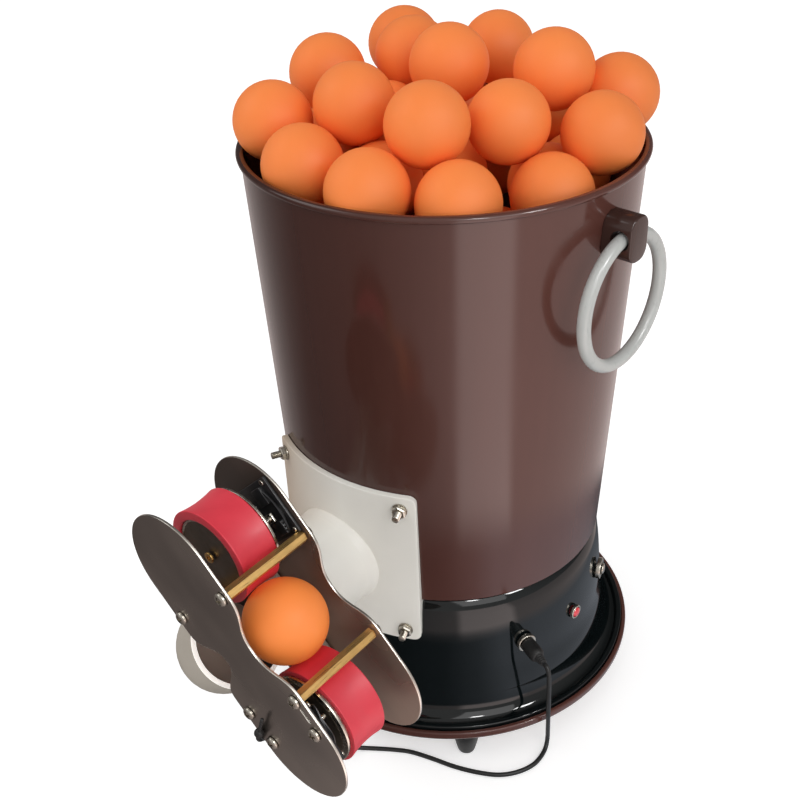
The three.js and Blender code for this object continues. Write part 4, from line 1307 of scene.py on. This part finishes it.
class ROBOT_OT_controls(bpy.types.Operator):
    """Builds the jack's nut, the pilot lamp and the toggle switch"""

    bl_idname = "robot.controls"
    bl_label = "Controls"

    def execute(self, context):
        places = Places(context.scene)
        jack, lamp, toggle = (places.control(*spot) for spot in (JACK, LAMP, TOGGLE))
        nut = placed(self.collar(0.0056, 0.0034, JACK_NUT_DEPTH), jack)
        piece("jack_nut", nut, "zinc_plate", "base", "power_socket_nut")
        bezel = placed(self.collar(0.0043, 0.0032, 0.0018), lamp)
        piece("lamp_ring", bezel, "zinc_plate", "base", "lamp_bezel")
        dome = [(0, 0), (0.0029, 0), (0.0029, 0.0016, 0.0004), (0.0021, 0.0025, 0.0008), (0, 0.0028)]
        piece("lamp_dome", placed(turned(dome, 32), lamp), "lens_red", "base", "lamp_lens")
        nut = placed(self.collar(0.0064, 0.0042, 0.0026), toggle)
        piece("switch_nut", nut, "zinc_plate", "base", "toggle_nut")
        lever = [
            (0, 0), (0.0024, 0, 0.0002), (0.0026, 0.0022, 0.0008), (0.0032, 0.0029, 0.0006),
            (0.0032, 0.0038, 0.0008), (0.0018, 0.0044, 0.0006), (0, 0.0044),
        ]
        piece("switch_lever", placed(turned(lever, 32), toggle), "zinc_plate", "toggle", "toggle_lever")
        return {"FINISHED"}

    def collar(self, outer, inner, depth):
        """Round nut or bezel with rounded edges"""
        profile = [(inner, 0), (outer, 0, 0.0002), (outer, depth, 0.0005), (inner, depth, 0.0003)]
        return turned(profile, 40, 3)


# Hopper


class ROBOT_OT_hopper(bpy.types.Operator):
    """Builds the tapered bucket with its rolled rim and the outlet hole"""

    bl_idname = "robot.hopper"
    bl_label = "Hopper"

    def execute(self, context):
        hopper, places = context.scene.robot_hopper, Places(context.scene)
        outlet = context.scene.robot_outlet
        low, top, floor = places.hopper_z, places.rim_top, places.floor_top
        neck = top - hopper.bead_height
        lip, out = places.hopper_radius(neck), hopper.rim_radius + hopper.bead_reach
        profile = [
            (SHAFT_HOLE, low),
            (hopper.base_radius, low, 0.0014),
            (lip, neck - 0.0002, 0.0006),
            (out - 0.0004, neck + 0.0003, 0.0009),
            (out, top - 0.0012, 0.001),
            (out - 0.0012, top, 0.0012),
            (hopper.rim_radius - hopper.wall, top, 0.0009),
            (places.hopper_radius(floor) - hopper.wall, floor, 0.003),
            (SHAFT_HOLE, floor),
        ]
        walls = turned(profile, 192, 5)
        start, wide = 0.0855, 0.12
        hole = rod(outlet.bore, start, hopper.rim_radius + PAST, 64)
        sill = placed(block((-wide, -wide, low - 0.001), (wide, wide, floor)), places.middle)
        hole = carved(placed(hole, outlet_frame(places.axis_z, outlet.drop)), ("DIFFERENCE", sill))
        bucket = carved(placed(walls, places.middle), ("DIFFERENCE", hole))
        piece("hopper_bucket", bucket, "brown_plastic", "base", "hopper")
        return {"FINISHED"}


class ROBOT_OT_handles(bpy.types.Operator):
    """Builds the two lugs and the rings that hang in them"""

    bl_idname = "robot.handles"
    bl_label = "Handles"

    def execute(self, context):
        hopper, places = context.scene.robot_hopper, Places(context.scene)
        hang_x, _, hang_z = JOINTS["ring_right_swing"]["pos_m"]
        for side, sign in (("right", 1), ("left", -1)):
            way = places.middle @ Matrix.Rotation(0 if sign > 0 else pi, 4, "Z")
            lug = placed(self.lug(hopper, places, hang_x, hang_z), way)
            piece(f"lug_{side}", lug, "brown_lug", "base", f"handle_lug_{side}")
            ring = placed(self.ring(hopper, hang_x, hang_z), way)
            piece(f"ring_{side}", ring, "grey_plastic", f"ring_{side}", f"handle_ring_{side}")
        return {"FINISHED"}

    def lug(self, hopper, places, hang_x, hang_z):
        """Rounded block, cut to the hopper's wall, with a bevelled front face and the ring's hole"""
        start = places.hopper_radius(hang_z) - 0.003
        end = places.hopper_radius(hang_z) + hopper.lug_reach
        outline = rounded_rectangle(hopper.lug_height, hopper.lug_width, hopper.lug_corner, 10)
        body = flat_plate([outline], end - start, 0.0009)
        turn_out = Matrix.Translation(((start + end) / 2, 0, hang_z)) @ Matrix.Rotation(pi / 2, 4, "Y")
        wall = [
            (0, places.hopper_z), (hopper.base_radius + CLEARANCE, places.hopper_z),
            (hopper.rim_radius + CLEARANCE, places.rim_top), (0, places.rim_top),
        ]
        hole = rod(hopper.lug_hole, -0.01, 0.01, 40)
        across = Matrix.Translation((hang_x, 0, hang_z)) @ Matrix.Rotation(pi / 2, 4, "X")
        steps = [("DIFFERENCE", turned(wall, 128)), ("DIFFERENCE", placed(hole, across))]
        return carved(placed(body, turn_out), *steps)

    def ring(self, hopper, hang_x, hang_z):
        """Round ring in the upright plane beside the hopper"""
        work = bmesh.new()
        radius, wire = hopper.ring_radius, hopper.ring_wire
        rings = []
        for a in turns(96):
            section = [(hang_x + wire * sin(b), radius + wire * cos(b)) for b in turns(20)]
            spots = [(x, reach * cos(a), hang_z - radius + reach * sin(a)) for x, reach in section]
            rings.append([work.verts.new(spot) for spot in spots])
        skin(work, rings + rings[:1])
        bmesh.ops.recalc_face_normals(work, faces=work.faces)
        return finished(work)


# Outlet


class ROBOT_OT_flange(bpy.types.Operator):
    """Builds the curved flange with its socket tube and its bolts"""

    bl_idname = "robot.flange"
    bl_label = "Outlet flange"

    def execute(self, context):
        outlet, places = context.scene.robot_outlet, Places(context.scene)
        low, high = places.flange_z - outlet.height / 2, places.flange_z + outlet.height / 2
        foot, head = places.housing_radius(low), places.hopper_radius(high)
        grow = CLEARANCE + outlet.thickness

        def outside(height):
            return foot + (height - low) / outlet.height * (head - foot) + grow

        reach = outside(places.outlet_z) / cos(outlet.drop)
        end = reach + outlet.tube_length
        root, start, past = 0.088, 0.05, 2 * PAST
        socket_bore = outlet.bore + outlet.elbow_wall + CLEARANCE
        tube_radius = socket_bore + outlet.tube_wall
        foot_radius = tube_radius + outlet.fillet
        tube = [
            (0, root), (foot_radius, root), (foot_radius, reach - 0.0014),
            (tube_radius, reach + 0.0016, outlet.fillet), (tube_radius, end, 0.0006), (0, end),
        ]
        bore = rod(outlet.bore, start, end + past, 96)
        widened = rod(socket_bore, end - outlet.spigot - CLEARANCE, end + past, 96)
        body = carved(
            self.plate(outlet, places, outside),
            ("UNION", placed(turned(tube, 96, 8), places.outlet)),
            ("DIFFERENCE", self.seat(places)),
            ("DIFFERENCE", placed(bore, places.outlet)),
            ("DIFFERENCE", placed(widened, places.outlet)),
        )
        piece("flange_body", body, "white_print", "base", "outlet_flange", sharp=28)
        across = outlet.width / 2 - outlet.bolt_inset_x
        spots = []
        for up in (1, -1):
            height = places.flange_z + up * (outlet.height / 2 - outlet.bolt_inset_z)
            for side in (1, -1):
                azimuth = side * asin(across / outside(height))
                place = facing(azimuth, outside(height) + CLEARANCE, height)
                spots.append((place.to_translation(), place.to_3x3() @ Vector((0, 0, 1))))
        bolts = copies(self.bolt(), spots, "zinc_plate", seed=5)
        piece("flange_bolts", bolts, "zinc_plate", "base", *[f"flange_bolt_{i + 1}" for i in range(4)])
        return {"FINISHED"}

    def plate(self, outlet, places, outside):
        """Rounded outline bent round the hopper, thick enough to be cut to the hopper's wall"""
        outline = rounded_rectangle(outlet.width, outlet.height, outlet.corner, 5)
        thickness, strips = 0.05, 42
        flat = flat_plate([subdivided(outline, 0.0045)], thickness, 0.0007)
        work = bmesh.new()
        work.from_mesh(flat)
        bpy.data.meshes.remove(flat)
        for cut in range(1 - strips // 2, strips // 2):
            place = Vector((cut * outlet.width / strips, 0, 0))
            geometry = work.verts[:] + work.edges[:] + work.faces[:]
            bmesh.ops.bisect_plane(work, geom=geometry, plane_co=place, plane_no=(1, 0, 0), dist=1e-7)
        for vert in work.verts:
            across, up, depth = vert.co
            height = places.flange_z + up
            radius = outside(height) - thickness / 2 + depth
            azimuth = asin(across / outside(height))
            vert.co = (radius * sin(azimuth), AXIS_Y - radius * cos(azimuth), height)
        return finished(work)

    def seat(self, places):
        """Space that the housing and the hopper take behind the flange"""
        hopper = places.hopper
        housing = [(radius + CLEARANCE, height) for radius, height in places.housing_outline()]
        profile = [
            (0, places.deck_z), *housing, (hopper.base_radius + CLEARANCE, places.housing_top + CLEARANCE),
            (hopper.rim_radius + CLEARANCE, places.rim_top), (0, places.rim_top),
        ]
        return placed(turned(profile, 160), places.middle)

    def bolt(self):
        """Hexagonal nut on a washer with the screw's threaded end"""
        washer = turned([(0, 0), (0.0042, 0, 0.0001), (0.0042, 0.0006, 0.0002), (0, 0.0006)], 32, 2)
        nut = [(0, 0.0006), (0.0034, 0.0006), (0.004, 0.001), (0.004, 0.0028), (0.0034, 0.0033), (0, 0.0033)]
        thread = [(0, 0.0033)]
        for i in range(10):
            foot = 0.0033 + i * 0.0005
            thread += [(0.00172, foot), (0.002, foot + 0.00025)]
        thread += [(0.0017, 0.0084, 0.0003), (0, 0.0088)]
        return together(washer, turned(nut, 6), turned(thread, 24))


def subdivided(points, step):
    """Closed outline with no side longer than step"""
    result = []
    for (x0, y0), (x1, y1) in zip(points, points[1:] + points[:1]):
        parts = max(1, round(hypot(x1 - x0, y1 - y0) / step))
        result += [(x0 + (x1 - x0) * k / parts, y0 + (y1 - y0) * k / parts) for k in range(parts)]
    return result


class ROBOT_OT_elbow(bpy.types.Operator):
    """Builds the elbow with its mouth and the bridge that carries the plates"""

    bl_idname = "robot.elbow"
    bl_label = "Elbow"

    def execute(self, context):
        outlet, head, places = context.scene.robot_outlet, context.scene.robot_head, Places(context.scene)
        outer = outlet.bore + outlet.elbow_wall
        back = outlet.elbow_length + outlet.spigot
        upright = Matrix.Translation((0, -outlet.arm, 0)) @ Matrix.Rotation(-pi / 2, 4, "X")
        corner = Matrix.Translation((0, -outlet.arm, 0))
        run = placed(rod(outer, -back, 0, 96, 0.0006), corner)
        mouth = [(0, 0), (outer, 0), (outer, outlet.neck, 0.0005), (0, outlet.neck)]
        start, half = CLEARANCE - places.inner, outlet.bridge_width / 2
        end = start + outlet.bridge_thickness
        bridge = block((-half, -outlet.bridge_bottom, start), (half, -outlet.bridge_top, end), 0.0012)
        steps = [
            ("UNION", placed(self.sphere(outer), corner)),
            ("UNION", placed(turned(mouth, 96), upright)),
            ("UNION", bridge),
            ("DIFFERENCE", placed(rod(outlet.bore, -back - PAST, 0, 96), corner)),
            ("DIFFERENCE", placed(self.sphere(outlet.bore), corner)),
            ("DIFFERENCE", placed(rod(outlet.bore, 0, outlet.arm, 96), upright)),
        ]
        for side in (-1, 1):
            hole = rod(head.standoff + CLEARANCE, start - PAST, end + PAST, 32)
            place = Matrix.Translation((side * head.standoff_x, -head.standoff_y, 0))
            steps.append(("DIFFERENCE", placed(hole, place)))
        body = carved(run, *steps)
        for face in body.polygons:
            face.material_index = self.look(face, outlet)
        # Painted shade outside and in the bore, painted light on the mouth's ring
        names = ["white_elbow", "white_mouth", "white_bore"]
        piece("elbow_body", placed(body, places.head), names, "head", "elbow", sharp=28)
        return {"FINISHED"}

    def sphere(self, radius):
        """Sphere turned from half a circle"""
        angles = [(-pi / 2) + (pi * i) / 24 for i in range(1, 24)]
        curve = [(radius * cos(a), radius * sin(a)) for a in angles]
        return turned([(0, -radius), *curve, (0, radius)], 96)

    def look(self, face, outlet):
        """0 outside in painted shade, 1 on the mouth's ring in painted light, 2 in the bore in painted shade
        """
        spot, inwards, slack = face.center, -0.6, 0.0003
        mouth, run = Vector((spot.x, 0, spot.z)), Vector((spot.x, spot.y + outlet.arm, 0))
        corner = spot - Vector((0, -outlet.arm, 0))
        for away, at_side in ((mouth, spot.y > -outlet.arm), (run, spot.z < 0), (corner, True)):
            near = at_side and away.length < outlet.bore + slack
            if near and face.normal.dot(away.normalized()) < inwards:
                return 2
        ring = face.normal.y > 0.5 and abs(spot.y - (outlet.neck - outlet.arm)) < 2 * slack
        return 1 if ring else 0


# Head


class ROBOT_OT_plates(bpy.types.Operator):
    """Builds the two waisted side plates"""

    bl_idname = "robot.plates"
    bl_label = "Side plates"

    def execute(self, context):
        head, places = context.scene.robot_head, Places(context.scene)
        for name, side in (("near", 1), ("far", -1)):
            loops = [self.outline(head)]
            if side > 0:
                loops.append(self.slot(head))
            mesh = flat_plate(loops, head.plate, 0.0004)
            for face in mesh.polygons:
                cut_edge = abs(face.normal.z) < 0.3
                face.material_index = int(cut_edge)
            mesh.transform(places.head @ Matrix.Translation((0, 0, side * places.half_pitch)))
            piece(f"plate_{name}", mesh, [f"steel_{name}", "steel_edge"], "head", f"{name}_plate")
        return {"FINISHED"}

    def outline(self, head):
        """Round ends, a wide waist above and a deep notch below"""
        return [
            *self.end(head, -1, pi / 2),
            *self.waist(head.notch_half_width, head.notch_depth, -1, head.half_height),
            *self.end(head, 1, -pi / 2),
            *self.waist(head.waist_half_width, head.waist_depth, 1, head.half_height),
        ]

    def end(self, head, side, start):
        """Half circle at one end, from an angle on"""
        middle, radius = side * (head.half_length - head.half_height), head.half_height
        return [(middle + radius * cos(a), radius * sin(a)) for a in steps_between(start, start + pi, 40)]

    def waist(self, half_width, depth, side, level):
        """Smooth dip from one shoulder to the other"""
        rise, floor = side * level, side * (level - depth)
        pull = half_width / 2
        start, middle, end = side * half_width, 0.0, -side * half_width
        first = bezier((start, rise), (side * pull, rise), (side * pull, floor), (middle, floor), 14)
        second = bezier((middle, floor), (-side * pull, floor), (-side * pull, rise), (end, rise), 14)
        return first + second[1:]

    def slot(self, head):
        """Small slot beside the lower motor"""
        middle = (head.standoff_x + head.wheel_offset) / 2
        shape = rounded_rectangle(0.008, 0.0018, 0.0008, 4)
        return [(middle + x, head.standoff_y + y) for x, y in reversed(shape)]


def steps_between(start, end, parts):
    return [start + (end - start) * i / parts for i in range(parts + 1)]


def bezier(a, b, c, d, parts):
    a, b, c, d = (Vector(point) for point in (a, b, c, d))
    result = []
    for t in steps_between(0.0, 1.0, parts):
        spot = a * (1 - t) ** 3 + b * 3 * t * (1 - t) ** 2 + c * 3 * t * t * (1 - t) + d * t**3
        result.append((spot.x, spot.y))
    return result


class ROBOT_OT_fasteners(bpy.types.Operator):
    """Builds the brass standoffs and all cross-head screws of the head"""

    bl_idname = "robot.fasteners"
    bl_label = "Standoffs and screws"

    def execute(self, context):
        head, places = context.scene.robot_head, Places(context.scene)
        across, along = head.standoff_y, head.standoff_x
        spots = [(x, y) for y in (across, -across) for x in (-along, along)]
        out = places.head.to_3x3() @ Vector((0, 0, 1))
        half, wide, bevel = places.inner - CLEARANCE, head.standoff, 0.0004
        bar = [
            (0, -half), (wide - bevel, -half), (wide, 0.0006 - half), (wide, half - 0.0006),
            (wide - bevel, half), (0, half),
        ]
        middles = [(places.head @ Vector((x, y, 0)), out) for x, y in spots]
        bars = copies(turned(bar, 6), middles, "brass_drawn", seed=2)
        names = [f"standoff_{i + 1}" for i in range(4)]
        piece("standoff_bars", bars, "brass_drawn", "head", *names, sharp=25)
        level = places.outer + CLEARANCE
        motor_screws = [(head.wheel_offset + 0.001, side * 0.0224) for side in (1, -1)]
        near = [(places.head @ Vector((x, y, level)), out) for x, y in spots]
        far = [(places.head @ Vector((x, y, -level)), -out) for x, y in spots]
        near += [(places.head @ Vector((x, y, level)), out) for x, y in motor_screws]
        heads = copies(self.screw(head), near + far, "zinc_plate", seed=7)
        names = [f"{side}_screw_{i + 1}" for side in ("near", "far") for i in range(4)]
        piece("screw_heads", heads, "zinc_plate", "head", *names, "motor_screw_1", "motor_screw_2", sharp=25)
        return {"FINISHED"}

    def screw(self, head):
        """Domed head with a cross recess"""
        radius, height = head.screw, head.screw_height
        dome = [
            (0, 0), (radius, 0, 0.0001), (radius, height * 0.45, 0.0005),
            (radius * 0.72, height * 0.9, 0.0006), (0, height),
        ]
        arm, half, bottom = radius * 0.62, radius * 0.16, height * 0.35
        bars = [block((-x, -y, bottom), (x, y, height * 2)) for x, y in ((arm, half), (half, arm))]
        recessed = carved(turned(dome, 40, 4), *[("DIFFERENCE", bar) for bar in bars])
        return placed(recessed, Matrix.Rotation(radians(28), 4, "Z"))


LIP_WIDTH, LIP_HEIGHT = 0.0013, 0.0005


class ROBOT_OT_wheels(bpy.types.Operator):
    """Builds both drive wheels: tyre, drum, bright rim and shaft cap"""

    bl_idname = "robot.wheels"
    bl_label = "Wheels"

    def execute(self, context):
        head, balls, places = context.scene.robot_head, context.scene.robot_balls, Places(context.scene)
        waist = hypot(head.wheel_offset, head.ball_rise) - balls.radius - CLEARANCE
        back = -head.tyre_shift - head.tyre_width / 2
        front = back + head.tyre_width
        for name, side in (("upper", -1), ("lower", 1)):
            place = places.wheel(side, head.wheel_offset)
            parts = {
                "tyre": (self.tyre(head, waist, back, front), "red_silicone", 45),
                "drum": (self.drum(head, back, front), ["drum_metal", "zinc_plate"], 30),
                "rim": (self.rim(head, back), "zinc_plate", 30),
                "cap": (self.cap(front - head.drum_recess + CLEARANCE), "brass_drawn", 30),
            }
            for part, (mesh, finish, sharp) in parts.items():
                body, node = f"{name}_wheel", f"{name}_wheel_{part}"
                for face in mesh.polygons:
                    face.material_index = int(part == "drum" and self.on_lip(face, head, front))
                piece(f"{name}_{part}", placed(mesh, place), finish, body, node, sharp=sharp)
        return {"FINISHED"}

    def tyre(self, head, waist, back, front):
        """Silicone ring with a hollow tread and soft shoulders"""
        inner = head.drum + CLEARANCE
        profile = [(inner, back, 0.0004)]
        middle, half = (front + back) / 2, head.tyre_width / 2
        for along in steps_between(-1.0, 1.0, 16):
            radius = waist + head.tyre_flare * along * along
            ends = 0.0012 if abs(along) == 1 else 0.0
            profile.append((radius, middle + along * half, ends))
        profile.append((inner, front, 0.0004))
        return turned(profile, 128, 5)

    def drum(self, head, back, front):
        """Drum with a raised lip round its face"""
        face, start, radius = front - head.drum_recess, back - CLEARANCE - head.rim_width, head.drum
        profile = [
            (0, start), (radius, start, 0.0002), (radius, face, 0.0002), (radius - 0.0009, face, 0.0002),
            (radius - LIP_WIDTH, face - LIP_HEIGHT, 0.0002), (0, face - LIP_HEIGHT),
        ]
        return turned(profile, 96)

    def on_lip(self, face, head, front):
        """Whether a face belongs to the bright lip round the drum's face"""
        spot, low = face.center, front - head.drum_recess - LIP_HEIGHT
        return hypot(spot.x, spot.y) > head.drum - LIP_WIDTH and spot.z > low + 0.0001

    def rim(self, head, back):
        """Flat ring behind the tyre, stepped at its edge"""
        end = back - CLEARANCE
        start, inner, step = end - head.rim_width, head.drum + CLEARANCE, 0.0006
        profile = [
            (inner, start), (head.rim, start, 0.0004), (head.rim, end - 0.0008, 0.0003),
            (head.rim - step, end - step, 0.0002), (head.rim - step, end, 0.0002), (inner, end),
        ]
        return turned(profile, 128)

    def cap(self, start):
        """Brass shaft end with a hexagonal socket"""
        radius, end = 0.0028, start + 0.0012
        body = turned([(0, start), (radius, start, 0.0002), (radius, end, 0.0003), (0, end)], 32)
        return carved(body, ("DIFFERENCE", rod(0.0013, start + 0.0003, start + 0.003, 6)))


BOARD_THICKNESS, JACK_TOP = 0.0016, 0.0042
BOARD_SCREWS = [(-0.0145, 0.0245), (0.0115, 0.025)]


class ROBOT_OT_motors(bpy.types.Operator):
    """Builds the motors behind the wheels, with their boards, screws, wires and lead clamps"""

    bl_idname = "robot.motors"
    bl_label = "Motors"

    def execute(self, context):
        head, places = context.scene.robot_head, Places(context.scene)
        seat = CLEARANCE - places.inner
        back = -head.tyre_shift - head.tyre_width / 2
        top = back - 2 * CLEARANCE - head.rim_width
        for name, side in (("upper", -1), ("lower", 1)):
            place = places.wheel(side, head.wheel_offset)
            looks, mount = ["motor_black", "zinc_plate"], f"{name}_wheel_motor_mount"
            motor = placed(self.motor(head, seat, top), place)
            piece(f"{name}_motor", motor, looks, "head", mount, slot="black")
            clamp = placed(self.clamp(head, seat), place)
            piece(f"{name}_clamp", clamp, "zinc_plate", "head", f"{name}_wheel_lead_clamp")
        return {"FINISHED"}

    def motor(self, head, seat, top):
        """Motor bell on its foot with the board beside it, two small screws and a bundle of wires"""
        neck, wide, collar = head.motor_neck, head.motor, 0.0012
        bell = [
            (0, seat), (neck, seat, 0.0003), (neck, top - 0.0036, 0.0005), (wide, top - 0.0034, 0.0005),
            (wide, top, 0.0006), (0, top),
        ]
        board = block((-0.0165, 0.0, seat), (0.0135, 0.027, seat + BOARD_THICKNESS), 0.0003)
        face = seat + BOARD_THICKNESS - 0.0004
        chip = block((-0.0135, 0.0128, face), (-0.0045, 0.0215, seat + 0.0036), 0.0004)
        jack = block((0.0045, 0.0135, face), (0.0115, 0.0215, seat + JACK_TOP), 0.0005)
        dark = together(turned(bell, 64), board, chip, jack, *[self.wire(seat, i) for i in range(3)])
        count_dark = len(dark.polygons)
        bright = [
            placed(rod(0.0014, 0, 0.0009, 20, 0.0003), Matrix.Translation((x, y, seat + 0.0017)))
            for x, y in BOARD_SCREWS
        ]
        band = rod(neck + collar, 0, collar, 48, 0.0004)
        bright.append(placed(band, Matrix.Translation((0, 0, top - 0.0049))))
        mesh = together(dark, *bright)
        for face in mesh.polygons:
            face.material_index = int(face.index >= count_dark)
        return mesh

    def wire(self, seat, i):
        """One of the wires that run from the jack round the chip to the board"""
        lift, shift = seat + 0.0026 + 0.0004 * i, 0.0018 * i
        bend = [
            (0.0065 + shift, 0.0215, lift), (0.006 + shift, 0.0245, lift + 0.0008),
            (0.001 + 0.001 * i, 0.0255, lift), (-0.006, 0.0235 + 0.0008 * i, lift),
            (-0.0105, 0.0222, lift - 0.0004),
        ]
        return tube_along(smooth_path(bend), 0.0005, 8)

    def clamp(self, head, seat):
        """Small bright clamp of the motor's wires"""
        low, start, middle, half = seat + JACK_TOP + CLEARANCE, head.motor + CLEARANCE, 0.0015, 0.0023
        base = block((middle - half, start, low), (middle + half, start + 0.008, low + 0.0014), 0.0003)
        foot = low + 0.0012
        nut = rod(0.0021, foot, low + 0.0036, 6, 0.0002)
        post = rod(0.0012, foot, low + 0.0042, 24, 0.0003)
        nut = placed(nut, Matrix.Translation((middle, start + 0.0025, 0)))
        return together(base, nut, placed(post, Matrix.Translation((middle, start + 0.0056, 0))))


class ROBOT_OT_relief(bpy.types.Operator):
    """Builds the lead's strain relief on the near plate"""

    bl_idname = "robot.relief"
    bl_label = "Strain relief"

    def execute(self, context):
        places = Places(context.scene)
        bulb, low, stem, rib, gap = 0.00245, -0.0085, 0.0009, 0.0012, 0.0022
        profile = [(0, low)]
        profile += [(bulb * sin(a), bulb + low - bulb * cos(a)) for a in steps_between(0.2, 2.75, 14)]
        for i in range(5):
            foot = -0.0032 + i * gap
            profile += [(stem, foot, 0.0001), (stem, foot + rib, 0.0001), (stem - 0.0002, foot + 0.0014)]
        profile += [(stem, 0.008, 0.0002), (0, -low)]
        lay = Matrix.Rotation(radians(27), 4, "Z") @ Matrix.Rotation(-pi / 2, 4, "X")
        spot = Matrix.Translation((0.0344, -0.0184, places.outer + CLEARANCE + 0.0022))
        relief = placed(turned(profile, 32), places.head @ spot @ lay)
        piece("lead_relief", relief, "rubber_black", "head", "lead_grommet")
        return {"FINISHED"}


# Feeder inside the hopper and the housing


class ROBOT_OT_feeder(bpy.types.Operator):
    """Finishes the feeder wheel, its motor and the control board"""

    bl_idname = "robot.feeder"
    bl_label = "Feeder"

    def execute(self, context):
        self.dress("feeder_wheel", "white_print", "feeder")
        self.dress("feeder_motor", "zinc_plate", "base")
        self.dress("control_board", "green_board", "base")
        return {"FINISHED"}

    def dress(self, node, finish, body):
        """Merged copy of a hidden solid, with its flat faces whole"""
        source = frame["nodes"][node]
        work = bmesh.new()
        work.from_mesh(source.data)
        bmesh.ops.remove_doubles(work, verts=work.verts, dist=1e-6)
        bmesh.ops.dissolve_limit(work, angle_limit=radians(0.5), verts=work.verts, edges=work.edges)
        bmesh.ops.recalc_face_normals(work, faces=work.faces)
        piece(f"{node}_body", finished(work), finish, body, node)


# Balls: places in millimetres from the hopper's axis and its rim

SEEN_BALLS = [
    (-59.0, -60.0, 12.0), (-23.0, -76.0, 2.0), (20.0, -78.0, 0.0), (56.0, -57.0, -4.0), (75.0, -11.0, -10.0),
    (79.0, 23.0, 11.0), (63.0, 62.0, 17.0), (46.0, -7.0, 18.0), (29.0, -46.0, 24.0), (-21.0, -41.0, 23.0),
    (-67.0, -12.0, 23.0), (-68.0, 50.0, 24.0), (-40.0, 25.0, 28.0), (-27.0, 81.0, 21.0),
]
LOOSE_BALLS = [(42.0, 35.0, 32.0), (-3.6, 10.0, 33.0)]
LOWER_BALLS = [
    (-30.0, -7.3, 3.6), (17.6, 28.7, 0.6), (0.6, 79.8, -10.4), (-0.4, -45.5, -10.9), (-79.2, 8.3, -12.4),
    (-42.8, 67.1, -12.8), (-38.2, 27.7, -13.4), (-60.5, -26.9, -13.7), (8.8, -6.9, -15.4),
    (50.8, 19.9, -19.7), (35.1, -33.9, -28.0), (-5.1, 44.4, -28.1), (32.8, 71.4, -32.6),
    (-26.9, -20.2, -33.9), (-32.1, -59.7, -36.2), (-68.7, 37.7, -37.1), (2.9, -78.2, -40.2),
    (-1.9, 9.2, -50.0), (66.4, 40.3, -50.0), (68.2, -37.2, -50.0), (-65.1, -42.4, -50.0), (36.7, -1.6, -50.0),
]


class ROBOT_OT_balls(bpy.types.Operator):
    """Heaps the balls in the hopper and sets one between the wheels"""

    bl_idname = "robot.balls"
    bl_label = "Balls"

    def execute(self, context):
        sizes, head, places = context.scene.robot_balls, context.scene.robot_head, Places(context.scene)
        self.heap(sizes, places, "ball_heap", SEEN_BALLS + LOWER_BALLS, "load", "ball_load")
        self.heap(sizes, places, "top_ball_1", LOOSE_BALLS[:1], "loose_one", "loose_ball_1")
        self.heap(sizes, places, "top_ball_2", LOOSE_BALLS[1:], "loose_two", "loose_ball_2")
        spot = places.head @ Vector((0, head.ball_rise, 0))
        # Painted light: this ball gets the brighter orange that glows faintly
        fed = copies(ball(sizes.radius, sizes.detail + 1), [(spot, (0, 0, 1))], "orange_lit", sizes.seed, 2.2)
        piece("ball_between_wheels", fed, "orange_lit", "fed_ball", "head_ball", sharp=180)
        return {"FINISHED"}

    def heap(self, sizes, places, name, spots, body, node):
        """Balls at their places over the hopper's rim"""
        centres = [(spot_at(*spot, places.rim_top), (0, 0, 1)) for spot in spots]
        mesh = copies(ball(sizes.radius, sizes.detail), centres, "orange_ball", sizes.seed, 6.0)
        piece(name, mesh, "orange_ball", body, node, sharp=180)


# Panel, registration and the run


STEPS = [
    ROBOT_OT_finishes,
    ROBOT_OT_stage,
    ROBOT_OT_lead,
    ROBOT_OT_saucer,
    ROBOT_OT_housing,
    ROBOT_OT_controls,
    ROBOT_OT_hopper,
    ROBOT_OT_handles,
    ROBOT_OT_flange,
    ROBOT_OT_elbow,
    ROBOT_OT_plates,
    ROBOT_OT_fasteners,
    ROBOT_OT_wheels,
    ROBOT_OT_motors,
    ROBOT_OT_relief,
    ROBOT_OT_feeder,
    ROBOT_OT_balls,
]


class ROBOT_PT_panel(bpy.types.Panel):
    """Lists the pieces and their sizes"""

    bl_idname = "ROBOT_PT_panel"
    bl_label = "Table tennis robot"
    bl_space_type = "VIEW_3D"
    bl_region_type = "UI"
    bl_category = "Robot"

    def draw(self, context):
        for step in STEPS:
            self.layout.operator(step.bl_idname)
        for name, group in GROUPS.items():
            box = self.layout.box()
            box.label(text=group.__doc__)
            for entry in group.__annotations__:
                box.prop(getattr(context.scene, name), entry)


def register():
    for group in GROUPS.values():
        bpy.utils.register_class(group)
    for step in STEPS:
        bpy.utils.register_class(step)
    bpy.utils.register_class(ROBOT_PT_panel)
    for name, group in GROUPS.items():
        setattr(bpy.types.Scene, name, bpy.props.PointerProperty(type=group))


def unregister():
    for name in GROUPS:
        delattr(bpy.types.Scene, name)
    for thing in [ROBOT_PT_panel, *reversed(STEPS), *GROUPS.values()]:
        bpy.utils.unregister_class(thing)


def main():
    register()
    for step in STEPS:
        section, name = step.bl_idname.split(".")
        getattr(getattr(bpy.ops, section), name)()


if __name__ == "__main__":
    main()
